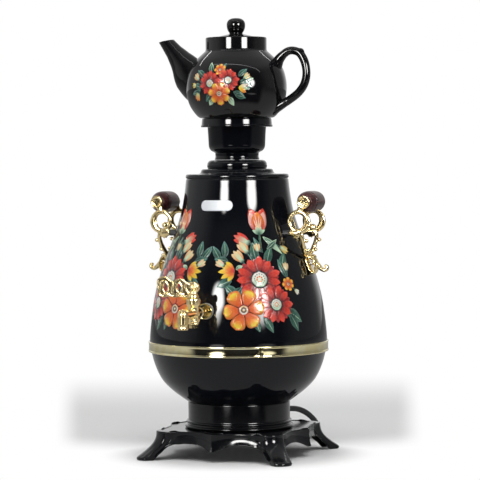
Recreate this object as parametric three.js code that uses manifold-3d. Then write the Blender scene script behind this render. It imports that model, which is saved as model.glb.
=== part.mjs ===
// An electric samovar with a ceramic teapot on its crown. Millimetres, +Z up, the tap in front at -Y.
// The origin is on the floor, in the middle of the samovar's box without its cord.
import * as THREE from "three";
import { mergeVertices } from "three/addons/utils/BufferGeometryUtils.js";
import Module from "manifold-3d";

const wasm = await Module();
wasm.setup();

// Clearances
const touchGap = 0.3; // between pieces that rest on or in each other
const runGap = 0.35; // between pieces that turn or lift out
const overrun = 4; // how far a cutting tool runs past what it cuts
const sunk = 1; // how far a joined lug reaches into what carries it
const weldDistance = 1e-3;

// Sides of the turned pieces
const bodySides = 28;
const cupSides = 20;
const smallSides = 10;

// Stand: one casting with a scalloped plate, an arched skirt, four legs and four drops
const standHeight = 33.6;
const plateThickness = 3;
const plateOpeningRadius = 46;
const kneeRadius = 106; // from the middle to the top of a leg
const kneeWidth = 25;
const dropReach = 90; // from the middle to the point halfway along a side
const dropTipHeight = 11;
const skirtWall = 2.8;
const scallopSag = 6;
const archTopHeight = 21;
const archCentreDepth = 5; // the arches' ellipses are centred this far below the floor
const toeRadius = 132;
const heelRadius = 112.5;
const toeHeight = 3.4;
const legTaperShare = 0.9; // width of a leg at the floor
const legBevel = 1.6;

// Outer edge of a leg: [share of the way from knee to toe, share of the stand's height]
const legOuterShares = [[0, 1], [0.03, 0.74], [0.32, 0.45], [0.72, 0.22], [0.97, 0.12]];
// Inner edge of a leg: [share of the way from the knee back to the plate's opening and out to the heel, height]
const legInnerShares = [[0.9, 0.14], [0.45, 0.36], [0.1, 0.58]];

// Bottom cover and the tie bolt that draws cover, stand, collar and bowl together
const coverRadius = 54;
const coverThickness = 2;
const tieBoltRadius = 3;
const tieHeadRadius = 9;
const tieHeadThickness = 1.5;
const tieNutRadius = 6.2;
const tieNutThickness = 5;
const tieBoltTail = 2;

// Pedestal collar
const collarHeight = 31.4; // from the stand's plate to its top
const collarRadius = 61.2;
const collarWall = 2.6;
const collarFootStep = 2.8; // from the collar's side out to the foot's
const collarLipWidth = 9.2;
const collarLipThickness = 3;
const beadStep = 4;
const beadHeight = 2; // of the lower bead's middle above the plate
const beadHalf = 1.9;
const upperBeadStep = 2;
const upperBeadHeight = 7;
const upperBeadHalf = 1.5;
const collarNeckStep = 0.8;
const collarFootRadius = collarRadius + collarFootStep;
const collarLipRadius = collarRadius - collarLipWidth;
const beadRadius = collarRadius + beadStep;
const upperBeadRadius = collarRadius + upperBeadStep;
const collarNeckRadius = collarRadius + collarNeckStep;

// Body: bowl below, shell above, joined at the seam
const bowlHeight = 65.8;
const shellHeight = 204.6;
const seamRadius = 106.4;
const bowlSeatRadius = 62.4;
const rimRadius = 61.2;
const bodyWall = 1.6;
const spigotHeight = 8; // of the bowl's edge inside the shell
const gasketThickness = 0.8;
const mouthRadius = 51.5; // opening at the top of the shell
const rimBead = 2.2;
const grooveDepth = 0.8;

// Bowl outline: [share of the way from the seat radius to the seam radius, share of the bowl's height]
const bowlOutlineShares = [
  [0, 0], [0.15, 0.065], [0.36, 0.19], [0.58, 0.36], [0.77, 0.545], [0.92, 0.75], [0.985, 0.9], [1, 1],
];
// Shell outline: [share of the way from the rim radius to the seam radius, share of the shell's height]
const shellOutlineShares = [
  [1, 0], [0.995, 0.06], [0.925, 0.2], [0.81, 0.332], [0.66, 0.452], [0.485, 0.562], [0.34, 0.648], [0.2, 0.737],
  [0.09, 0.83], [0.03, 0.92], [0, 1],
];

// Seam band
const bandHeight = 12.8;
const bandThickness = 1.4;
const bandGap = 0.4;
const bandEdge = 0.5;

// Blank label above the tap
const labelWidth = 41;
const labelHeight = 13.4;
const labelThickness = 0.6;
const labelCentreHeight = 300.8;

// Tank lid, cup and crown ring, which carry the teapot
const lidFlangeRadius = 56;
const lidFlangeThickness = 1.8;
const lidSkirtDepth = 11;
const lidSkirtWall = 1.8;
const lidStepRadius = 45;
const lidStepHeight = 5.4;
const lidRingRadius = 36.8;
const lidRingHeight = 9;
const lidPlateThickness = 2.4;
const cupHeight = 41.6;
const cupNeckRadius = 25.8;
const cupFootRadius = 29;
const cupMouthRadius = 35;
const cupWall = 2.4;
const cupFloor = 3;
// Cup outline: [share of the way from neck to mouth radius, share of the cup's height]
const cupOutlineShares = [
  [0, 0.1], [0, 0.26], [0.4, 0.34], [0.78, 0.43], [0.87, 0.6], [0.93, 0.85], [1, 1],
];
const crownHeight = 9.4;
const crownRadius = 42.8;
const crownRecessRadius = 38.8;
const crownRecessDepth = 3;
const crownHoleRadius = 27;
const crownSpigot = 6;
const crownGroove = 1;
const standBoltRadius = 3;
const standBoltHeadRadius = 5.6;
const standBoltHeadHeight = 4;
const standBoltTail = 3;
const standNutHeight = 5;

// Teapot
const potFootRadius = 38;
const potFootHeight = 3.2;
const potRadius = 60.4;
const potHeight = 82.4; // from the foot to the bottom of the neck
const potNeckRadius = 36.7;
const potNeckHeight = 16.6;
const potWall = 3;
const potFloor = 4;
const potLedge = 5; // depth of the lid's ledge below the neck's edge
const potLedgeWidth = 2.6;
// Pot outline: [share of the pot's greatest radius, share of its height]
const potOutlineShares = [
  [0.63, 0.035], [0.735, 0.045], [0.84, 0.12], [0.93, 0.225], [0.985, 0.36], [1, 0.48], [0.983, 0.605],
  [0.925, 0.75], [0.81, 0.87], [0.69, 0.955], [0.615, 1],
];
const potLidRadius = 33.2;
const potLidRimHeight = 2.2;
const potLidDomeHeight = 5.6;
const potLidWall = 2.6;
const potLidSkirtRadius = 30.4;
const potLidSkirtDepth = 5;
const potKnobRadius = 11.1;
const potKnobNeckRadius = 7.8;
const potKnobHeight = 21.2;
// Knob outline: [share of the knob's radius, share of its height]
const potKnobShares = [[0.74, 0.12], [0.9, 0.34], [1, 0.6], [0.94, 0.8], [0.6, 0.96]];

// Spout: middle line as [share of the spout's reach from the axis, share of the pot's height], with the
// radii along and across it as shares of the root's radius
const spoutReach = 94;
const spoutRootRadius = 25;
const spoutWall = 2.6;
const spoutMouthHeight = 94; // above the pot's foot
const spoutPlaceShares = [[0.4, 0.43], [0.57, 0.54], [0.705, 0.74], [0.8, 0.94], [0.93, 1.2]];
const spoutRadiusShares = [1, 0.86, 0.58, 0.4, 0.36];
const spoutWidthShares = [0.68, 0.6, 0.46, 0.33, 0.27];

// Teapot handle: middle line as [share of its reach, share of the pot's height]
const potHandleReach = 83.2;
const potHandleRadius = 4.8;
const potHandleShares = [
  [0.48, 0.79], [0.6, 0.87], [0.72, 0.98], [0.86, 0.995], [0.965, 0.86], [1, 0.68], [0.975, 0.51],
  [0.88, 0.36], [0.73, 0.24], [0.56, 0.17],
];
const thumbRestRadius = 4;
const thumbRestShare = 0.45; // of the way along the handle

// Tap
const tapHeight = 179;
const plugReach = 140;
const noseReach = 172;
const noseRadius = 6.4;
const noseBoreRadius = 4.2;
const noseTopHeight = 7; // above the pipe's middle line
const noseBottomHeight = 17; // below it
const tapBoreRadius = 2.8;
const tapFlangeRadius = 9.5;
const tapFlangeThickness = 2.6;
const tapPipeRadius = 5.2;
const tapTailRadius = 5.6;
const tapTailLength = 7;
const gasketLeastThickness = 1;
const tapNutRadius = 9.2;
const tapNutThickness = 5;
const housingRadius = 6.2;
const housingCupRadius = 8.4;
const housingBottomHeight = 13; // below the pipe's middle line
const housingTopHeight = 17.6; // above it
const plugRadius = 4;
const keyNutRadius = 5.6;
const keyNutThickness = 3.4;
const keyTail = 0.6;
const bellHeight = 10;
const bellRadius = 6.6;
const leverReach = 46;
const leverRise = 22;
const leverThickness = 3;
const leverCurlRadius = 4.6;
const leverCurlShares = [-0.04, 0.6];
// Lever outline: [share of its reach, share of its rise], going round from the bell's foot
const leverOutlineShares = [
  [-0.12, 0.02], [-0.1, 0.2], [-0.06, 0.34], [-0.12, 0.46], [-0.135, 0.6], [-0.09, 0.73], [0.02, 0.79],
  [0.13, 0.78], [0.2, 0.84], [0.28, 0.95], [0.37, 0.98], [0.45, 0.91], [0.53, 0.82], [0.61, 0.87], [0.68, 0.99],
  [0.78, 1.08], [0.89, 1.04], [0.97, 0.94], [0.98, 0.7], [0.96, 0.36], [0.92, 0.1], [0.8, 0.02], [0.66, 0.08],
  [0.52, 0.02], [0.37, 0.07], [0.22, 0.03], [0.1, 0.02],
];
const leverHoles = [
  { middleShare: [0.38, 0.53], halfShares: [0.07, 0.23] },
  { middleShare: [0.745, 0.54], halfShares: [0.07, 0.27] },
];

// Handles: places are shares of the rise from the foot to the grip, measured from the foot's seat
const handleFootHeight = 229;
const handleRise = 75;
const armOffset = 26.4; // of each arm's middle from the handle's middle
const armThickness = 5;
const bossRadius = 7.6;
const handleRingRadius = 14.4;
const handleRingHoleRadius = 8.4;
const stemRadius = 3;
const lugRadius = 3.6;
const handleKnobRadius = 4.2;
const footHalfDepth = 10.5;
const footHalfWidth = 10;
const footHalfHeight = 14;
const tailRadius = 3;
const tailBallRadius = 3.7;
const bossShares = [0.07, 1];
const ringShares = [-0.017, 0.693];
const handleKnobShares = [0.197, 0.6];
const lugShares = [-0.07, 0.513];
const leafShares = [0.115, 0.375];
const footShares = [0.06, 0];
const stemShares = [[-0.01, 0.52, 1], [0.035, 0.39, 0.9], [0.05, 0.27, 0.62], [0.07, 0.12, 0.18]]; // third: of armOffset
const tailShares = [[0.14, -0.02], [0.2, -0.12], [0.26, -0.17], [0.315, -0.13], [0.31, -0.07]];
const gripRadius = 12.8;
const gripEndRadius = 8.6;
const gripGroove = 0.8;
const gripBoreRadius = 3.4;
const gripRodRadius = 3;
const rodRecess = 1.4;
// Half of the grip's outline: [share of the way from end radius to greatest radius, share of half its length]
const gripOutlineShares = [[0, 1], [0.55, 0.87], [0.88, 0.7]];
const gripGrooveShare = 0.56;
const gripGrooveHalfShare = 0.035;
const bushLength = 7;
const bushRadius = 3.8;
const footScrewRadius = 2.1;
const footScrewHeadRadius = 4.4;
const footScrewHeadHeight = 2.6;
const footScrewReach = 9; // into the foot
const screwHeadGap = 1.2;

// Heating element and the parts under the bowl
const heaterTubeRadius = 4;
const heaterRingRadius = 46;
const heaterRingHeight = 26.4; // above the bowl's seat
const heaterLegSpread = 14;
const heaterLegSetback = 31;
const heaterLegTail = 14;
const heaterNutRadius = 7.6;
const heaterNutHeight = 5;
const heaterSealThickness = 1.6;
const cutoutRadius = 9;
const cutoutHeight = 8;
const cutoutX = -30;
const cutoutY = -2;
const earthScrewRadius = 2.2;
const earthScrewHeight = 9;
const earthScrewX = 30;
const earthScrewY = 8;
const blockLength = 34;
const blockDepth = 14;
const blockHeight = 12;
const blockY = 26;
const blockPitch = 10;
const leadRadius = 1.4;

// Mains cord, its strain relief, its coil and its plug
const cordRadius = 3.5;
const cordExitHeight = 46;
const cordExitTurn = 18; // degrees from straight back, towards +X
const reliefLength = 26;
const reliefFlangeRadius = 7.5;
const reliefFlangeThickness = 2.6;
const reliefNeckRadius = 5.1;
const reliefRadius = 6;
const reliefTipRadius = 4.3;
const coilDistance = 205; // of its middle from the axis
const coilTurnFromBack = 21.5; // degrees, towards -X
const coilOuterRadius = 45.6;
const coilPitch = 7.8;
const coilTurns = 3.5;
const coilStartTurn = 54.6; // degrees anticlockwise from +X, where the cord comes on
const coilSteps = 24;
const coilTubeSides = 6;
const tieWidth = 6;
const tieWall = 1;
const plugDiscRadius = 19;
const plugDiscHeight = 24;
const plugNeckRadius = 6;
const plugNeckLength = 20;
const plugPinRadius = 2.4;
const plugPinLength = 19;
const plugPinSpacing = 19;
const plugRimHeight = 3;
// The cord from the strain relief's tip to the coil, seen from the samovar's axis; its last point is the coil's start
const cordRoute = [
  [31.4, 95, 46], [37, 107, 44], [43, 119, 38.5], [47.5, 131, 30], [49, 143, 20], [46, 154, 11.5], [39, 164, 6],
  [29.5, 172.2, 4.4], [20, 179, 4], [5.3, 189.4, 4], [-12.6, 202.2, 4.4],
];

// Materials by finish
const finishes = {
  enamel: { color: 0x0b0b0d, roughness: 0.12, metalness: 0 },
  casting: { color: 0x0d0d10, roughness: 0.16, metalness: 0 },
  ceramic: { color: 0x08080a, roughness: 0.06, metalness: 0 },
  gold: { color: 0xd9bd72, roughness: 0.18, metalness: 1 },
  wood: { color: 0x3a0f10, roughness: 0.2, metalness: 0 },
  steel: { color: 0xb8babd, roughness: 0.35, metalness: 1 },
  rubber: { color: 0x151515, roughness: 0.8, metalness: 0 },
  silicone: { color: 0x9a9a98, roughness: 0.7, metalness: 0 },
  plastic: { color: 0x121212, roughness: 0.4, metalness: 0 },
  paper: { color: 0xe9e9ea, roughness: 0.5, metalness: 0 },
  liveLead: { color: 0x6b3a1c, roughness: 0.6, metalness: 0 },
  neutralLead: { color: 0x2f5f9e, roughness: 0.6, metalness: 0 },
  earthLead: { color: 0x7d9a2a, roughness: 0.6, metalness: 0 },
};

// Heights that follow from the stack of pieces
const collarBottom = standHeight + touchGap;
const collarTop = collarBottom + collarHeight;
const bowlSeat = collarTop + touchGap;
const seamHeight = bowlSeat + bowlHeight;
const rimTop = seamHeight + shellHeight;
const lidBottom = rimTop + touchGap;
const lidTop = lidBottom + lidFlangeThickness + lidStepHeight + lidRingHeight;
const cupBottom = lidTop + touchGap;
const cupTop = cupBottom + cupHeight;
const crownBottom = cupTop + touchGap;
const crownTop = crownBottom + crownHeight;
const potBottom = crownTop - crownRecessDepth + touchGap;
const neckBottom = potBottom + potHeight;
const neckTop = neckBottom + potNeckHeight;
const potLidSeat = neckTop - potLedge + touchGap;
const coverTop = standHeight - plateThickness - touchGap;
const coverBottom = coverTop - coverThickness;

// Vectors and angles
const v2 = (x, y) => new THREE.Vector2(x, y);
const v3 = (x, y, z) => new THREE.Vector3(x, y, z);
const halfTurn = Math.PI;
const quarterTurn = Math.PI / 2;
const radians = THREE.MathUtils.degToRad;
const between = THREE.MathUtils.lerp;

// A solid of the geometry's own triangles, for joining and cutting
function solidOf(geometry) {
  const loose = geometry.index ? geometry.toNonIndexed() : geometry;
  const bare = new THREE.BufferGeometry().setAttribute("position", loose.getAttribute("position"));
  const merged = mergeVertices(bare, weldDistance);
  return new wasm.Manifold(
    new wasm.Mesh({
      numProp: 3,
      vertProperties: merged.attributes.position.array,
      triVerts: new Uint32Array(merged.index.array),
    }),
  );
}

function geometryOf(solid) {
  const mesh = solid.getMesh();
  const geometry = new THREE.BufferGeometry();
  geometry.setAttribute("position", new THREE.BufferAttribute(mesh.vertProperties, 3));
  geometry.setIndex(new THREE.BufferAttribute(mesh.triVerts, 1));
  geometry.computeVertexNormals();
  return geometry;
}

const joined = (...pieces) => geometryOf(pieces.map(solidOf).reduce((a, b) => a.add(b)));
const cut = (piece, ...tools) => geometryOf(tools.map(solidOf).reduce((a, b) => a.subtract(b), solidOf(piece)));
const common = (a, b) => geometryOf(solidOf(a).intersect(solidOf(b)));

// A body turned about +Z from [radius, height] points, listed anticlockwise
function turned(points, sides = bodySides) {
  const profile = points.map(([radius, height]) => v2(radius, height));
  return new THREE.LatheGeometry(profile, sides).rotateX(quarterTurn);
}

const ring = (inner, outer, bottom, top, sides = bodySides) =>
  turned([[inner, bottom], [outer, bottom], [outer, top], [inner, top], [inner, bottom]], sides);
const disc = (radius, bottom, top, sides = smallSides) =>
  turned([[0, bottom], [radius, bottom], [radius, top], [0, top]], sides);

// A round bar from one point to another
function bar(radius, from, to, sides = smallSides, farRadius = radius) {
  const way = to.clone().sub(from);
  const geometry = new THREE.CylinderGeometry(farRadius, radius, way.length(), sides);
  const turn = new THREE.Quaternion().setFromUnitVectors(v3(0, 1, 0), way.clone().normalize());
  return geometry.applyQuaternion(turn).translate(...from.clone().add(to).divideScalar(2));
}

function ball(radius, centre, stretch = v3(1, 1, 1), sides = smallSides) {
  return new THREE.SphereGeometry(radius, sides, Math.round(sides * 0.6))
    .scale(stretch.x, stretch.y, stretch.z)
    .translate(centre.x, centre.y, centre.z);
}

function block(width, depth, height, x, y, bottom) {
  return new THREE.BoxGeometry(width, depth, height).translate(x, y, bottom + height / 2);
}

// A flat strut in a plane square to Y
function strut(width, thickness, from, to) {
  const way = to.clone().sub(from);
  return new THREE.BoxGeometry(width, thickness, way.length())
    .rotateY(Math.atan2(way.x, way.z))
    .translate(...from.clone().add(to).divideScalar(2));
}

// A tube of even radius along a curve
function tube(curve, radius, steps, halfSides) {
  const section = new THREE.Shape().absarc(0, 0, radius, 0, 2 * halfTurn);
  return new THREE.ExtrudeGeometry(section, { steps, curveSegments: halfSides, extrudePath: curve });
}

// A tapering tube through points; thickness and width give its half sizes in and across the curve's plane
function tapered(points, thickness, width, steps, sides) {
  const curve = new THREE.CatmullRomCurve3(points, false, "centripetal");
  const { normals, binormals } = curve.computeFrenetFrames(steps, false);
  const at = (values, share) => {
    const place = share * (values.length - 1);
    const low = Math.min(Math.floor(place), values.length - 2);
    return between(values[low], values[low + 1], place - low);
  };
  const positions = [];
  const corners = [];
  for (let i = 0; i <= steps; i++) {
    const share = i / steps;
    const middle = curve.getPoint(share);
    for (let k = 0; k < sides; k++) {
      const turn = (2 * halfTurn * k) / sides;
      const corner = middle
        .clone()
        .addScaledVector(normals[i], Math.cos(turn) * at(width, share))
        .addScaledVector(binormals[i], Math.sin(turn) * at(thickness, share));
      positions.push(...corner);
    }
  }
  for (let i = 0; i < steps; i++) {
    for (let k = 0; k < sides; k++) {
      const a = i * sides + k;
      const b = i * sides + ((k + 1) % sides);
      corners.push(a, b, a + sides, b, b + sides, a + sides);
    }
  }
  for (let k = 1; k < sides - 1; k++) {
    corners.push(0, k + 1, k);
    corners.push(steps * sides, steps * sides + k, steps * sides + k + 1);
  }
  const geometry = new THREE.BufferGeometry();
  geometry.setAttribute("position", new THREE.Float32BufferAttribute(positions, 3));
  return geometry.setIndex(corners);
}

// Points of an outline moved sideways, to its left for a positive distance
function besideOutline(points, distance) {
  return points.map(([radius, height], i) => {
    const before = points[Math.max(i - 1, 0)];
    const after = points[Math.min(i + 1, points.length - 1)];
    const way = v2(after[0] - before[0], after[1] - before[1]).normalize();
    return [radius - way.y * distance, height + way.x * distance];
  });
}

// The body's outlines
const bowlOutline = bowlOutlineShares.map(([out, up]) => [
  between(bowlSeatRadius, seamRadius, out),
  bowlSeat + up * (bowlHeight - gasketThickness / 2 - touchGap),
]);
const shellBottom = seamHeight + gasketThickness / 2 + touchGap;
const shoulderTop = rimTop - 2 * rimBead;
const shellOutline = shellOutlineShares.map(([out, up]) => [
  between(rimRadius, seamRadius, out),
  between(shellBottom, shoulderTop, up),
]);

// The shell's outer radius at a height
function shellRadiusAt(height) {
  const above = Math.max(shellOutline.findIndex(([, z]) => z > height), 1);
  const [[r0, z0], [r1, z1]] = [shellOutline[above - 1], shellOutline[above]];
  return between(r0, r1, (height - z0) / (z1 - z0));
}

const shellInside = shellOutline.filter((_, i) => i === 0 || i % 2).map(([radius, height]) => [radius - bodyWall, height]);

// A solid filling an outline of the shell, moved outwards by a distance
function shellFill(distance, outline = shellOutline) {
  const points = outline.map(([radius, height]) => [radius + distance, height]);
  return turned([[0, shellBottom], ...points, [0, points[points.length - 1][1]]]);
}

function standOutline(inwards) {
  const outline = new THREE.Shape();
  const knee = kneeRadius - inwards;
  const half = kneeWidth / 2 - inwards;
  for (let quarter = 0; quarter < 4; quarter++) {
    const turn = quarter * quarterTurn;
    const place = (x, y) => v2(x, y).rotateAround(v2(0, 0), turn);
    const drop = place(dropReach - inwards, 0);
    const nextDrop = place(0, dropReach - inwards);
    const diagonal = knee / Math.SQRT2;
    const side = half / Math.SQRT2;
    const cornerA = place(diagonal + side, diagonal - side);
    const cornerB = place(diagonal - side, diagonal + side);
    if (quarter === 0) outline.moveTo(drop.x, drop.y);
    const bendIn = (from, to) => {
      const middle = from.clone().add(to).divideScalar(2);
      return middle.clone().setLength(middle.length() - 2 * scallopSag);
    };
    const first = bendIn(drop, cornerA);
    outline.quadraticCurveTo(first.x, first.y, cornerA.x, cornerA.y);
    outline.lineTo(cornerB.x, cornerB.y);
    const second = bendIn(cornerB, nextDrop);
    outline.quadraticCurveTo(second.x, second.y, nextDrop.x, nextDrop.y);
  }
  return outline;
}

function leg(turn) {
  const outer = legOuterShares.map(([out, up]) => v2(between(kneeRadius, toeRadius, out), up * standHeight));
  const inner = legInnerShares.map(([out, up]) => v2(between(plateOpeningRadius * 2, heelRadius, out), up * standHeight));
  const side = new THREE.Shape();
  side.moveTo(plateOpeningRadius * 2, standHeight - legBevel);
  side.lineTo(plateOpeningRadius * 2, archTopHeight);
  side.splineThru(inner.slice().reverse());
  side.lineTo(heelRadius, legBevel);
  side.lineTo(toeRadius - legBevel, legBevel);
  side.lineTo(toeRadius, toeHeight);
  side.splineThru(outer.slice().reverse().map((p) => v2(p.x, Math.min(p.y, standHeight - legBevel))));
  const depth = kneeWidth - 2 * legBevel;
  const solid = new THREE.ExtrudeGeometry(side, {
    depth,
    curveSegments: 1,
    bevelThickness: legBevel,
    bevelSize: legBevel,
    bevelSegments: 1,
  });
  solid.translate(0, 0, -depth / 2).rotateX(quarterTurn);
  const places = solid.getAttribute("position");
  for (let i = 0; i < places.count; i++) {
    const share = THREE.MathUtils.clamp(places.getZ(i) / standHeight, 0, 1);
    places.setY(i, places.getY(i) * between(legTaperShare, 1, share));
  }
  return solid.rotateZ(turn);
}

function baseStand() {
  const outline = standOutline(0);
  const plate = new THREE.ExtrudeGeometry(outline, { depth: plateThickness, bevelEnabled: false, curveSegments: 3 });
  plate.translate(0, 0, standHeight - plateThickness);
  const skirtOutline = standOutline(0);
  skirtOutline.holes.push(standOutline(skirtWall));
  const skirt = new THREE.ExtrudeGeometry(skirtOutline, {
    depth: standHeight - dropTipHeight - plateThickness / 2,
    bevelEnabled: false,
    curveSegments: 3,
  });
  skirt.translate(0, 0, dropTipHeight);
  const arches = [];
  const cornerX = (kneeRadius + kneeWidth / 2) / Math.SQRT2;
  const cornerY = (kneeRadius - kneeWidth / 2) / Math.SQRT2;
  const chord = v2(cornerX - dropReach, cornerY);
  const rise = archTopHeight + archCentreDepth;
  const tipRise = dropTipHeight + archCentreDepth;
  const halfArch = chord.length() / 2 / Math.sqrt(1 - (tipRise / rise) ** 2);
  for (let eighth = 0; eighth < 8; eighth++) {
    const arch = new THREE.CylinderGeometry(1, 1, 1, 1.5 * smallSides).scale(halfArch, kneeRadius / 2, rise);
    const mirror = eighth % 2 ? -1 : 1;
    arch.rotateZ(mirror * (chord.angle() + quarterTurn) + (mirror < 0 ? halfTurn : 0));
    arch.translate((cornerX + dropReach) / 2, (mirror * cornerY) / 2, -archCentreDepth);
    arches.push(arch.rotateZ(Math.floor(eighth / 2) * quarterTurn));
  }
  const legs = [1, 3, 5, 7].map((odd) => leg((odd * quarterTurn) / 2));
  const opening = disc(plateOpeningRadius, 0, standHeight + overrun, bodySides);
  return cut(joined(plate, cut(skirt, ...arches), ...legs), opening);
}

function bottomCover() {
  return ring(tieBoltRadius + runGap, coverRadius, coverBottom, coverTop, cupSides);
}

function tieBolt() {
  const top = bowlSeat - touchGap;
  const bottom = coverBottom - touchGap - tieNutThickness - tieBoltTail;
  const head = top - tieHeadThickness;
  return turned(
    [[0, bottom], [tieBoltRadius, bottom], [tieBoltRadius, head], [tieHeadRadius, head], [tieHeadRadius, top], [0, top]],
    smallSides,
  );
}

const hexNut = (bore, radius, bottom, height) =>
  cut(disc(radius, bottom, bottom + height, 6), disc(bore + touchGap, bottom - overrun, bottom + height + overrun));

const reliefWay = v3(Math.sin(radians(cordExitTurn)), Math.cos(radians(cordExitTurn)), 0);
const alongRelief = (distance) => reliefWay.clone().multiplyScalar(distance).setZ(cordExitHeight);

function pedestalCollar() {
  const bead = (radius, middle, half, neck) => [
    [neck, middle - half],
    [radius, middle - half * 0.4],
    [radius, middle + half * 0.4],
    [neck, middle + half],
  ];
  const inner = collarRadius - collarWall;
  const outline = [
    [inner, collarBottom],
    [collarFootRadius, collarBottom],
    ...bead(beadRadius, collarBottom + beadHeight, beadHalf, collarNeckRadius).slice(1),
    ...bead(upperBeadRadius, collarBottom + upperBeadHeight, upperBeadHalf, collarNeckRadius),
    [collarRadius, collarBottom + upperBeadHeight + 2 * upperBeadHalf],
    [collarRadius, collarTop],
    [collarLipRadius, collarTop],
    [collarLipRadius, collarTop - collarLipThickness],
    [inner, collarTop - collarLipThickness],
    [inner, collarBottom],
  ];
  const hole = bar(reliefNeckRadius + touchGap, alongRelief(inner - overrun), alongRelief(collarRadius + overrun));
  const spotFace = bar(reliefFlangeRadius + touchGap, alongRelief(inner), alongRelief(beadRadius + overrun));
  return cut(turned(outline), hole, cut(spotFace, disc(collarRadius, 0, 2 * cordExitHeight, bodySides)));
}

function heaterHoles() {
  return [-1, 1].map((side) =>
    bar(
      heaterTubeRadius + touchGap,
      v3(side * heaterLegSpread, -heaterLegSetback, bowlSeat - overrun),
      v3(side * heaterLegSpread, -heaterLegSetback, bowlSeat + bodyWall + overrun),
    ),
  );
}

function lowerBowl() {
  const inside = besideOutline(bowlOutline, bodyWall);
  const [edgeRadius, edgeHeight] = bowlOutline[bowlOutline.length - 1];
  const spigotOuter = edgeRadius - bodyWall - touchGap;
  const spigotInner = spigotOuter - bodyWall;
  const spigotTop = edgeHeight + spigotHeight;
  const kept = inside.filter(([radius, height], i) => i % 2 && radius < spigotInner && height > bowlSeat + bodyWall);
  const profile = [
    [0, bowlSeat],
    ...bowlOutline,
    [spigotOuter, edgeHeight],
    [spigotOuter, spigotTop],
    [spigotInner, spigotTop],
    ...kept.reverse(),
    [bowlSeatRadius - bodyWall, bowlSeat + bodyWall],
    [0, bowlSeat + bodyWall],
  ];
  return cut(turned(profile), ...heaterHoles());
}

function seamGasket() {
  const inner = seamRadius - bodyWall;
  return ring(inner, seamRadius, seamHeight - gasketThickness / 2, seamHeight + gasketThickness / 2);
}

function seamBand() {
  const inner = seamRadius + bandGap;
  const outer = inner + bandThickness;
  const bottom = seamHeight - bandHeight / 2;
  const top = seamHeight + bandHeight / 2;
  return turned([
    [inner, bottom],
    [outer - bandEdge, bottom],
    [outer, bottom + bandEdge],
    [outer, top - bandEdge],
    [outer - bandEdge, top],
    [inner, top],
    [inner, bottom],
  ]);
}

// The handle's seat on the shell and the direction square to the shell there, for the handle at +X
const footReach = shellRadiusAt(handleFootHeight);
const footSlope =
  (shellRadiusAt(handleFootHeight - footHalfHeight) - shellRadiusAt(handleFootHeight + footHalfHeight)) /
  (2 * footHalfHeight);
const footNormal = v3(1, 0, footSlope).normalize();
const alongFoot = (distance) => v3(footReach, 0, handleFootHeight).addScaledVector(footNormal, distance);

const tapPoint = (reach, height = tapHeight) => v3(0, -reach, height);

function upperShell() {
  const rimMiddle = rimTop - rimBead;
  const profile = [
    ...shellOutline,
    [rimRadius - grooveDepth, shoulderTop],
    [rimRadius, rimMiddle - rimBead * 0.6],
    [rimRadius + 0.1 * rimBead, rimMiddle],
    [rimRadius - 0.3 * rimBead, rimTop - rimBead * 0.25],
    [rimRadius - rimBead, rimTop],
    [mouthRadius, rimTop],
    [mouthRadius, rimTop - bodyWall],
    [rimRadius - rimBead - bodyWall, rimTop - bodyWall],
    ...shellInside.slice().reverse(),
    shellOutline[0],
  ];
  const footHole = (side) =>
    bar(footScrewRadius + touchGap, alongFoot(-overrun), alongFoot(overrun)).rotateZ(side < 0 ? halfTurn : 0);
  const tapReachIn = shellRadiusAt(tapHeight) - bodyWall - overrun;
  const tapHole = bar(tapTailRadius + touchGap, tapPoint(tapReachIn), tapPoint(tapReachIn + 2 * overrun + bodyWall));
  return cut(turned(profile), footHole(1), footHole(-1), tapHole);
}

function blankLabel() {
  const pill = new THREE.Shape();
  const half = labelWidth / 2 - labelHeight / 2;
  pill.absarc(half, 0, labelHeight / 2, -quarterTurn, quarterTurn);
  pill.absarc(-half, 0, labelHeight / 2, quarterTurn, 3 * quarterTurn);
  const prism = new THREE.ExtrudeGeometry(pill, { depth: seamRadius, bevelEnabled: false, curveSegments: 6 });
  prism.rotateX(quarterTurn).translate(0, 0, labelCentreHeight);
  const layer = cut(shellFill(touchGap + labelThickness), shellFill(touchGap));
  return common(prism, layer);
}

function tankLid() {
  const flangeTop = lidBottom + lidFlangeThickness;
  const stepTop = flangeTop + lidStepHeight;
  const ringMiddle = stepTop + lidRingHeight / 2;
  const half = lidRingHeight / 2;
  const skirtOuter = mouthRadius - runGap;
  const skirtInner = skirtOuter - lidSkirtWall;
  const skirtBottom = lidBottom - lidSkirtDepth;
  const stepInner = lidStepRadius - lidPlateThickness;
  const plateBottom = lidTop - lidPlateThickness;
  const hollow = lidRingRadius - lidPlateThickness;
  return turned([
    [standBoltRadius + touchGap, plateBottom],
    [hollow - half, plateBottom],
    [hollow, stepTop - lidPlateThickness],
    [stepInner, stepTop - lidPlateThickness],
    [skirtInner, flangeTop - lidFlangeThickness],
    [skirtInner, skirtBottom],
    [skirtOuter, skirtBottom],
    [skirtOuter, lidBottom],
    [lidFlangeRadius, lidBottom],
    [lidFlangeRadius, flangeTop],
    [lidStepRadius + lidFlangeThickness, flangeTop],
    [lidStepRadius - lidFlangeThickness / 2, stepTop],
    [lidRingRadius - half * 0.25, stepTop],
    [lidRingRadius, ringMiddle - half * 0.3],
    [lidRingRadius - half * 0.2, ringMiddle + half * 0.6],
    [lidRingRadius - half, lidTop],
    [standBoltRadius + touchGap, lidTop],
    [standBoltRadius + touchGap, plateBottom],
  ]);
}

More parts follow.
